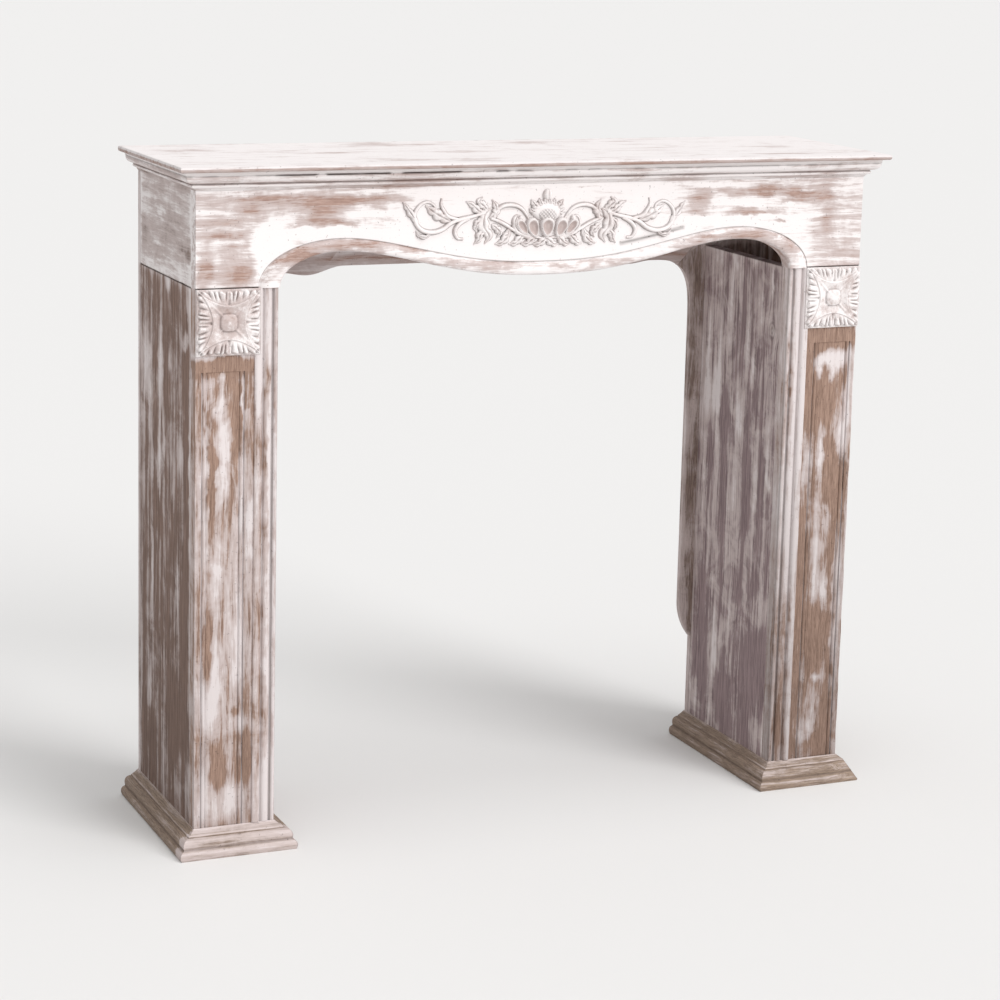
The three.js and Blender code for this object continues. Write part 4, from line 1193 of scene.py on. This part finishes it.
class MANTEL_OT_rosettes(bpy.types.Operator):
    """Carved square blocks at the heads of the legs: rings of a square grid with the rosette's height."""

    bl_idname = "mantel.rosettes"
    bl_label = "Rosettes"

    def execute(self, context):
        edge = ROSETTE_EDGE
        relief = FACE_Y - ROSETTE_LOW[1] - edge
        half = (ROSETTE_HIGH[0] - ROSETTE_LOW[0]) / 2
        centre_z = (ROSETTE_HIGH[2] + ROSETTE_LOW[2]) / 2
        a = np.linspace(-1, 1, 97)[:-1]
        one = np.ones_like(a)
        u = np.concatenate([a, one, -a, -one])[None, :]
        v = np.concatenate([-one, a, one, -a])[None, :]
        ray = np.tile(a, 4)[None, :]
        out = np.linspace(0, 1, 76)[:, None] ** 0.9
        height = rosette_height(out, ray)
        # The height less its blur: low places darken with dirt and painted shade, crests whiten with paint
        # and a painted highlight.
        blurred = height.copy()
        for shift in BLUR_SHIFTS:
            blurred += np.roll(height, shift, 1) + np.roll(height, -shift, 1)
            blurred += np.roll(height, shift, 0) + np.roll(height, -shift, 0)
        contrast = height - blurred / (1 + 4 * len(BLUR_SHIFTS))
        for name, side in SIDES.items():
            centre_x = side * (ROSETTE_HIGH[0] + ROSETTE_LOW[0]) / 2
            points = surface(
                centre_x + u * out * half, FACE_Y - edge - height * relief, centre_z + v * out * half,
            )
            points[..., 1] += 0.25 * MM * ripple(points, 0.012, 51 + side)
            points[-1, :, 1] = FACE_Y - edge * 0.9
            rim = np.repeat(points[-1:], 2, axis=0)
            rim[0, :, 1] = FACE_Y - edge * 0.4
            rim[1, :, 1] = FACE_Y
            middle = np.broadcast_to((centre_x, FACE_Y, centre_z), (1, points.shape[1], 3))
            whole = np.concatenate([points, rim, middle])
            low_dirt_and_shade = np.clip(-6 * contrast, 0, 0.62) * ease(out, 1.0, 0.93)
            crevice = np.concatenate([low_dirt_and_shade, np.full((3, u.size), 0.1)])
            crest = np.concatenate([np.clip(5 * contrast, 0, 1), np.zeros((3, u.size))])
            shell = Shell()
            shell.add(whole, ROSETTE_COVER[name], crevice, crest, wrap=True)
            finish_piece(
                shell, f"rosette_carving_{name}", [f"rosette_{name}"], "rosette", 60
            )
        return {"FINISHED"}


PANEL_DROP = 24 * MM
LEG_PITCH = 5 * MM
# Strength of the painted floor shade on each leg front and moulding.
FRONT_FLOOR_SHADE = {"left": 0.14, "right": 0.36}
MOULDING_FLOOR_SHADE = {"left": 0.06, "right": 0.38}


def leg_front_section():
    """Face of a leg front as (inset from the outer edge, forward) in metres: margin, quirk, bead, sunk
    panel, bead, quirk and margin."""
    width = BODY_HALF - BOARD_INNER
    outer, inner, bead, quirk, deep, sink = (value * MM for value in (9, 14, 6, 1.5, 2.5, 1.5))
    angle = np.linspace(0, np.pi, 11)
    arc = np.stack([bead / 2 * (1 - np.cos(angle)), deep * (np.sin(angle) - 1)], axis=1)
    first, second = outer + quirk, width - inner - quirk - bead
    flat = evenly(first + bead + quirk, second - quirk, 3.5 * MM)
    return np.concatenate([
        [(0.0, 0.0), (3 * MM, 0.0), (outer - 0.6 * MM, 0.0), (outer, -0.4 * MM), (outer + 0.3 * MM, -deep)],
        arc + (first, 0),
        np.stack([flat, np.full_like(flat, -sink)], axis=1),
        arc + (second, 0),
        [(width - inner - 0.3 * MM, -deep), (width - inner, -0.4 * MM), (width - inner + 0.6 * MM, 0.0),
         (width - 5 * MM, 0.0), (width, 0.0)],
    ])


class MANTEL_OT_leg_fronts(bpy.types.Operator):
    """Front board of each leg: its section carried upwards, the beads and the sunk panel fading out
    under the rosette."""

    bl_idname = "mantel.leg_fronts"
    bl_label = "Leg fronts"

    def execute(self, context):
        stop = ROSETTE_LOW[2] - PANEL_DROP
        section = leg_front_section()
        width = section[-1, 0]
        convex, hollow = bends(section)
        z = np.concatenate([
            evenly(0, stop - 3 * MM, LEG_PITCH), stop + MM * np.array([-2, -1, -0.3, 0.4, 1.2]),
            evenly(stop + 3 * MM, LEG_TOP, LEG_PITCH),
        ])[:, None]
        lasting = 1 - ease(z, stop - 1.2 * MM, stop + 0.6 * MM)
        for name, side in SIDES.items():
            spots = LEFT_FRONT_SPOTS if side < 0 else RIGHT_FRONT_SPOTS
            inset, forward = section[None, :, 0], section[None, :, 1] * lasting
            x = side * (BODY_HALF - inset)
            face = surface(x, FACE_Y - forward, z)
            chips = np.clip(0.35 + 0.4 * ripple(face, 0.07, 61 + side), 0.1, None)
            corner = np.exp(-inset / (1.5 * MM)) * context.scene.mantel_sizes.wear * chips
            face[..., 0] -= side * corner
            face[..., 1] += 0.8 * corner + 0.15 * MM * (1 + ripple(face * (1, 1, 0.1), 0.01, 63 + side))
            back_x = evenly(width, 0, 8 * MM)[None, :]
            back = surface(side * (BODY_HALF - back_x), INNER_Y, z)
            loop = board_loop(face, back)
            cover = -0.3 + spots_field(loop[..., 2], loop[..., 0], spots)
            count = loop.shape[1] - face.shape[1]
            patchy = ease(ripple(face * (1, 1, 0.4), 0.05, 67 + side), -0.4, 0.4)
            cover[:, :face.shape[1]] += (0.9 - 0.5 * patchy) * np.clip(2 * convex, 0, 1)[None, :] * lasting
            # Quirks darken with depth, in patches: dirt and painted shade in the grooves. Beads and the outer
            # corner whiten with paint and a painted highlight.
            sunk = np.clip(-forward / MM - 1.9, 0, 0.7) + 0.3 * hollow[None, :]
            sunk = sunk * (0.25 + 0.6 * patchy)
            plain = np.zeros((len(z), count))
            crevice = np.concatenate([sunk * lasting + joint_dirt(face, [LEG_TOP]), plain], axis=1)
            crest = np.concatenate([convex[None, :] * lasting + np.exp(-inset / (2.5 * MM)), plain], axis=1)
            shell = Shell()
            shell.add(loop, cover, crevice, crest, wrap=True, caps=True)
            finish_piece(
                shell, f"leg_front_board_{name}", [f"leg_front_{name}"],
                "leg_front", floor_shade=FRONT_FLOOR_SHADE[name],
            )
        return {"FINISHED"}


LEG_MOULDING_SHARES = [
    (0, 0.55), (0.05, 0.9), (0.15, 1), (0.26, 0.85), (0.32, 0.2), (0.35, -0.5), (0.39, -0.45), (0.43, 0.3),
    (0.52, 0.62), (0.63, 0.5), (0.71, 0.1), (0.74, -0.8), (0.8, -0.85), (0.83, -0.1), (0.88, 0.3),
    (0.94, 0.25), (0.98, -0.1), (1, -0.5),
]
LEFT_MOULDING_SPOTS = [
    (740, -440, 90, 8, 1.1), (560, -440, 90, 8, -0.6), (590, -421, 100, 4, 1.1), (420, -421, 70, 4, 0.7),
    (760, -421, 60, 7, 0.7), (700, -428, 40, 8, -0.8), (300, -438, 90, 6, -0.5), (265, -421, 50, 6, 0.8),
    (90, -420, 40, 8, 1.0), (150, -440, 60, 6, -0.6), (660, -416, 50, 5, -0.4),
]
RIGHT_MOULDING_SPOTS = [
    (760, 428, 70, 18, 0.5), (560, 432, 120, 10, 0.7), (400, 428, 90, 12, 0.5), (250, 440, 90, 4, 0.5),
    (300, 422, 90, 8, -0.3), (180, 432, 110, 12, -0.5), (100, 428, 60, 16, -0.5), (640, 418, 80, 3, -0.5),
]


class MANTEL_OT_leg_mouldings(bpy.types.Operator):
    """Moulding along the inner front edge of each leg: ridge, grooves and bands carried upwards, and cut
    back behind the base and the rosette."""

    bl_idname = "mantel.leg_mouldings"
    bl_label = "Leg mouldings"

    def execute(self, context):
        width = MOULDING_HIGH[0] - MOULDING_LOW[0]
        relief = FACE_Y - MOULDING_LOW[1]
        section = rounded_line(LEG_MOULDING_SHARES, 2) * (width, relief)
        convex, hollow = bends(section)
        lap, foot = ROSETTE_LOW[0] - JOINT_GAP, ROSETTE_LOW[2]
        z = np.concatenate([
            [0, BASE_TOP], BASE_TOP + MM * np.array([0.35, 0.8]),
            evenly(BASE_TOP + 4 * MM, foot - 4 * MM, LEG_PITCH),
            foot - MM * np.array([0.8, 0.35]), evenly(foot, LEG_TOP, LEG_PITCH),
        ])[:, None]
        for name, side in SIDES.items():
            spots = LEFT_MOULDING_SPOTS if side < 0 else RIGHT_MOULDING_SPOTS
            x = side * (MOULDING_HIGH[0] - section[None, :, 0])
            behind = (z <= BASE_TOP + JOINT_GAP) | ((z >= foot - JOINT_GAP) & (np.abs(x) > lap))
            forward = np.where(behind, np.minimum(section[None, :, 1], 0), section[None, :, 1])
            face = surface(x, FACE_Y - forward, z)
            face[..., 1] += 0.2 * MM * (1 + ripple(face * (1, 1, 0.3), 0.02, 71 + side)) * (forward > 0)
            back = face[:, ::-1][:, ::10].copy()
            back[..., 1] = INNER_Y
            loop = board_loop(face, back)
            cover = 0.12 + spots_field(loop[..., 2], loop[..., 0], spots)
            count = loop.shape[1] - face.shape[1]
            # Grooves darken with depth: dirt and painted shade. Ridges and the front whiten with paint and a
            # painted highlight.
            depth = np.clip(-1.1 * section[:, 1] / relief, 0, 0.75) + 0.3 * hollow
            ridge = convex + ease(section[:, 1] / relief, 0.6, 1)
            plain = np.zeros((len(z), count))
            crevice = np.concatenate([np.tile(depth, (len(z), 1)), plain], axis=1)
            crest = np.concatenate([np.tile(ridge, (len(z), 1)), plain], axis=1)
            shell = Shell()
            shell.add(loop, cover, crevice, crest, wrap=True, caps=True)
            finish_piece(
                shell, f"leg_moulding_run_{name}", [f"leg_moulding_{name}"],
                "leg_moulding", floor_shade=MOULDING_FLOOR_SHADE[name],
            )
        return {"FINISHED"}


class MANTEL_OT_leg_sides(bpy.types.Operator):
    """Side boards of the legs: boxes with rounded, worn edges."""

    bl_idname = "mantel.leg_sides"
    bl_label = "Leg sides"

    def execute(self, context):
        for name, side in SIDES.items():
            # Each part: its spots, base cover and strength of the painted floor shade.
            for part, spots, base, floor_shade in (
                ("outer", LEFT_SIDE_SPOTS, -0.46, 0.25), ("inner", RIGHT_SIDE_SPOTS, -0.34, 0.0),
            ):
                low, high = corners(f"leg_{part}_{name}")

                def cover(points, spots=spots, base=base):
                    return base + 1.15 * spots_field(points[..., 2], points[..., 1], spots)

                shell = Shell()
                block(shell, low, high, 4.5 * MM, cover, 81 + side + len(spots), [high[2]])
                finish_piece(
                    shell, f"leg_{part}_board_{name}", [f"leg_{part}_{name}"],
                    f"leg_{part}", floor_shade=floor_shade,
                )
        return {"FINISHED"}


BASE_SHARES = [
    (0, 1), (0.05, 0.985), (0.13, 0.93), (0.25, 0.86), (0.4, 0.81), (0.42, 0.765), (0.5, 0.76), (0.62, 0.74),
    (0.72, 0.69), (0.785, 0.6), (0.8, 0.49), (0.75, 0.39), (0.8, 0.355), (0.88, 0.335), (0.96, 0.285),
    (1, 0.2), (0.98, 0.08), (0.93, 0),
]


class MANTEL_OT_bases(bpy.types.Operator):
    """Base mouldings: one section carried round three sides of each leg, mitred. The outer front corner
    of the right base is worn to a slant."""

    bl_idname = "mantel.bases"
    bl_label = "Bases"

    def execute(self, context):
        curve = rounded_line(BASE_SHARES, 2) * (BASE_REACH, BASE_TOP)
        section = np.concatenate([[(0, 0)], curve])[::-1]

        def cover(points):
            upper = ease(points[..., 2], 0.72 * BASE_TOP, 0.95 * BASE_TOP)
            left = points[..., 0] < 0
            front = points[..., 1] < FACE_Y
            return -0.78 + 0.15 * ripple(points, 0.12, 9) + front * (0.08 + 0.5 * left) + 0.3 * upper

        def worn_corner(out, rise, s, side):
            """On the right base the section is planed down to a slant over the last part of each run."""
            slant = np.clip(1.02 - 0.85 * rise / BASE_TOP, 0.1, 1) * BASE_REACH
            share = ease(s, 0.72, 0.97) * (side > 0)
            return np.where(out > slant, out * (1 - share) + slant * share, out)

        for name, side in SIDES.items():
            ends = sorted((side * BODY_HALF, side * LEG_INNER))

            def front(out, rise, s, ends=ends, side=side):
                out = worn_corner(out, rise, s, side)
                reach = out - JOINT_GAP
                x = (ends[0] - reach) * (1 - s) + (ends[1] + reach) * s
                return surface(x, FACE_Y - out, rise)

            shell = Shell()
            run(shell, section, front, evenly(0, 1, 0.025), cover, 91 + side)
            finish_piece(
                shell, f"base_front_run_{name}", [f"base_front_{name}"], "base_front"
            )
            for part, x0, turn in (("outer", side * BODY_HALF, side), ("inner", side * LEG_INNER, -side)):
                def flank(out, rise, s, x0=x0, turn=turn, worn=side if part == "outer" else -1):
                    out = worn_corner(out, rise, s, worn)
                    return surface(
                        x0 + turn * out, BACK_Y - s * (BACK_Y - FACE_Y + out), rise,
                    )

                shell = Shell()
                run(shell, section, flank, evenly(0, 1, 0.015), cover, 95 + side)
                finish_piece(
                    shell, f"base_{part}_run_{name}", [f"base_{part}_{name}"], "base_side"
                )
        return {"FINISHED"}


# Outline of the back frame
STILE_MARGIN = 23 * MM
STILE_FOOT = 169 * MM
STILE_FOOT_RADIUS = 95 * MM
RAIL_DROP = 14 * MM
LOBE_DROP = 27 * MM
LOBE_INSET = 139 * MM
LOBE_WIDTH = 61 * MM
CORNER_DROP = 22 * MM
CORNER_WIDTH = 73 * MM
CORNER_HEIGHT = 100 * MM


def frame_edge():
    """Shaped edge of the back frame for x > 0, as (x, z): a shallow lobe under the rail, a rounded corner,
    and a rounded foot that runs out at the leg."""
    stile_x = LEG_INNER - STILE_MARGIN
    lobe_x, corner_x = LEG_INNER - LOBE_INSET, stile_x - CORNER_WIDTH
    rail_z, lobe_z, corner_z = LEG_TOP - RAIL_DROP, LEG_TOP - LOBE_DROP, LEG_TOP - CORNER_DROP
    s = np.linspace(0, 1, 25)
    wave = 0.5 - 0.5 * np.cos(np.pi * s)
    first = np.stack([lobe_x - LOBE_WIDTH * (1 - s), rail_z + (lobe_z - rail_z) * wave], axis=1)
    second = np.stack([lobe_x + (corner_x - lobe_x) * s, lobe_z + (corner_z - lobe_z) * wave], axis=1)
    angle = s * np.pi / 2
    power = 2 / 3.2
    corner = np.stack([
        corner_x + CORNER_WIDTH * np.sin(angle) ** power,
        corner_z - CORNER_HEIGHT * (1 - np.abs(np.cos(angle)) ** power),
    ], axis=1)
    radius = STILE_FOOT_RADIUS
    foot_angle = math.acos(1 - STILE_MARGIN / radius)
    foot = np.stack([
        stile_x + radius * (1 - np.cos(foot_angle * s)),
        STILE_FOOT + radius * (math.sin(foot_angle) - np.sin(foot_angle * s)),
    ], axis=1)
    return np.concatenate([first, second[1:]]), corner, foot


def frame_board(shell, inner, outer, seed, front_paint):
    """Flat board between two lines of (x, z) points: loops round it, one per station, with its edges
    rounded by a small radius. Its front has more paint than its back."""
    radius = bpy.context.scene.mantel_sizes.edge_radius
    share = np.concatenate([[0], evenly(0, 1, 0.06)[1:-1], [1]])
    span = np.maximum(np.linalg.norm(outer - inner, axis=1), 1e-6)[:, None]
    inward = np.clip(np.minimum(share, 1 - share) * span / radius, 0, 1)
    bow = radius * (1 - np.sqrt(np.clip(1 - (1 - inward) ** 2, 0, 1)))
    x = inner[:, :1] + (outer - inner)[:, :1] * share
    z = inner[:, 1:] + (outer - inner)[:, 1:] * share
    front = surface(x, FRAME_Y + 0.7 * bow, z)
    rear = surface(x, BACK_Y - 0.7 * bow, z)[:, ::-1]
    loop = np.concatenate([front, rear], axis=1)
    # Edges whiten with paint and a painted highlight.
    near = np.exp(-np.minimum(share, 1 - share) * span / (3 * MM))
    crest = np.concatenate([near, near[:, ::-1]], axis=1)
    # Front faces take more paint than the back; above the leg tops they are lighter still, painted light that
    # lifts the shade inside the header.
    facing = (front_paint + 0.6 * (loop[..., 2] > LEG_TOP)) * (loop[..., 1] < (FRAME_Y + BACK_Y) / 2)
    shell.add(loop, -0.35 + 0.2 * ripple(loop, 0.15, seed) + facing, 0, crest, wrap=True, caps=True)


class MANTEL_OT_back_frame(bpy.types.Operator):
    """Boards of the back frame: a shaped rail and two stiles, mitred at the corners."""

    bl_idname = "mantel.back_frame"
    bl_label = "Back frame"

    def execute(self, context):
        head, corner, foot = frame_edge()
        mitre = 8
        rail_half = np.concatenate([[(0.0, head[0, 1])], head, corner[1:mitre + 1]])
        share = np.linspace(0, 1, len(rail_half))
        top = np.stack([share * BODY_HALF, np.full_like(share, BODY_TOP)], axis=1)
        mirror = (-1, 1)
        inner = np.concatenate([rail_half[:0:-1] * mirror, rail_half])
        outer = np.concatenate([top[:0:-1] * mirror, top])
        shell = Shell()
        frame_board(shell, inner, outer, 101, 0.15)
        finish_piece(shell, "back_rail_board", ["back_rail"], "rail", 45)
        drop = 0.6 * MM
        start, end = corner[mitre:mitre + 1] - (0, drop), [(LEG_INNER, 0.0)]
        edge = np.concatenate([start, corner[mitre + 1:], foot, end])
        count = len(corner) - mitre
        edge = np.concatenate([
            edge[:count],
            np.linspace(edge[count - 1], edge[count], 60)[1:-1],
            edge[count:-1],
            np.linspace(edge[-2], edge[-1], 24)[1:],
        ])
        heights = np.maximum(edge[:, 1], 0)
        heights = (heights - heights[-1]) / (heights[0] - heights[-1]) * (BODY_TOP - drop)
        side_line = np.stack([np.full_like(heights, BODY_HALF), heights], axis=1)
        for name, side in SIDES.items():
            shell = Shell()
            frame_board(shell, edge * (side, 1), side_line * (side, 1), 103 + side, 0.05)
            finish_piece(
                shell, f"back_stile_board_{name}", [f"back_stile_{name}"], "stile", 45
            )
        return {"FINISHED"}


class MANTEL_OT_stage(bpy.types.Operator):
    """Pale floor, soft studio light and the camera."""

    bl_idname = "mantel.stage"
    bl_label = "Stage"

    def execute(self, context):
        scene = context.scene
        stage = scene.mantel_stage
        mesh = bpy.data.meshes.new("floor")
        far = 60.0
        mesh.from_pydata([(-far, -far, 0), (far, -far, 0), (far, far, 0), (-far, far, 0)], [], [(0, 1, 2, 3)])
        floor = bpy.data.objects.new("floor", mesh)
        scene.collection.objects.link(floor)
        material = bpy.data.materials.new("pale_floor")
        material.use_nodes = True
        shader = material.node_tree.nodes["Principled BSDF"]
        shader.inputs["Base Color"].default_value = (*stage.floor, 1)
        shader.inputs["Roughness"].default_value = 0.9
        mesh.materials.append(material)

        world = bpy.data.worlds.new("studio")
        world.use_nodes = True
        world.node_tree.nodes["Background"].inputs["Color"].default_value = (1, 1, 1, 1)
        world.node_tree.nodes["Background"].inputs["Strength"].default_value = 0.55
        scene.world = world
        self.add_sun(scene, "key", (0.45, -0.8, 0.52), 1.75, 30)
        self.add_sun(scene, "top", (0.1, -0.3, 1.0), 1.1, 50)
        scene.view_settings.view_transform = "Standard"

        camera = bpy.data.objects.new("camera", bpy.data.cameras.new("camera"))
        camera.data.lens = stage.lens
        camera.data.sensor_width = 36
        camera.data.shift_y = stage.shift
        camera.data.clip_end = 200
        yaw, pitch, roll = stage.yaw, stage.pitch, stage.roll
        forward = Vector((math.sin(yaw) * math.cos(pitch), math.cos(yaw) * math.cos(pitch), math.sin(pitch)))
        right = Vector((math.cos(yaw), -math.sin(yaw), 0))
        up = right.cross(forward)
        turned_right = math.cos(roll) * right + math.sin(roll) * up
        turned_up = math.cos(roll) * up - math.sin(roll) * right
        axes = Matrix((turned_right, turned_up, -forward)).transposed()
        camera.matrix_world = Matrix.Translation(stage.camera_place) @ axes.to_4x4()
        scene.collection.objects.link(camera)
        scene.camera = camera
        return {"FINISHED"}

    def add_sun(self, scene, name, towards, strength, spread):
        """Sun that shines from a direction, with its softness in degrees."""
        light = bpy.data.lights.new(name, "SUN")
        light.energy = strength
        light.angle = math.radians(spread)
        lamp = bpy.data.objects.new(name, light)
        lamp.rotation_euler = Vector(towards).to_track_quat("Z", "Y").to_euler()
        scene.collection.objects.link(lamp)


OPERATORS = (
    MANTEL_OT_stage, MANTEL_OT_shelf, MANTEL_OT_cornice, MANTEL_OT_frieze, MANTEL_OT_header_ends,
    MANTEL_OT_carving, MANTEL_OT_rosettes, MANTEL_OT_leg_fronts, MANTEL_OT_leg_mouldings,
    MANTEL_OT_leg_sides, MANTEL_OT_bases, MANTEL_OT_back_frame,
)


class MANTEL_PT_panel(bpy.types.Panel):
    """Sizes, colours and the steps that make the mantelpiece."""

    bl_idname = "MANTEL_PT_panel"
    bl_label = "Mantelpiece"
    bl_space_type = "VIEW_3D"
    bl_region_type = "UI"
    bl_category = "Mantelpiece"

    def draw(self, context):
        """Every setting, then a button for each step."""
        scene = context.scene
        for group in (scene.mantel_sizes, scene.mantel_paint, scene.mantel_stage):
            for name in group.bl_rna.properties.keys():
                if name not in ("rna_type", "name"):
                    self.layout.prop(group, name)
        for operator in OPERATORS:
            self.layout.operator(operator.bl_idname)


CLASSES = (MantelSizes, MantelPaint, MantelStage, *OPERATORS, MANTEL_PT_panel)


def register():
    """Registers the classes and hangs the three groups of settings on the scene."""
    for entry in CLASSES:
        bpy.utils.register_class(entry)
    bpy.types.Scene.mantel_sizes = bpy.props.PointerProperty(type=MantelSizes)
    bpy.types.Scene.mantel_paint = bpy.props.PointerProperty(type=MantelPaint)
    bpy.types.Scene.mantel_stage = bpy.props.PointerProperty(type=MantelStage)


def unregister():
    """Takes the settings and the classes away again."""
    del bpy.types.Scene.mantel_stage
    del bpy.types.Scene.mantel_paint
    del bpy.types.Scene.mantel_sizes
    for entry in reversed(CLASSES):
        bpy.utils.unregister_class(entry)


def main():
    register()
    brush_marks()
    worn_paint()
    for operator in OPERATORS:
        group, name = operator.bl_idname.split(".")
        getattr(getattr(bpy.ops, group), name)()
    bpy.context.view_layer.update()


if __name__ == "__main__":
    main()
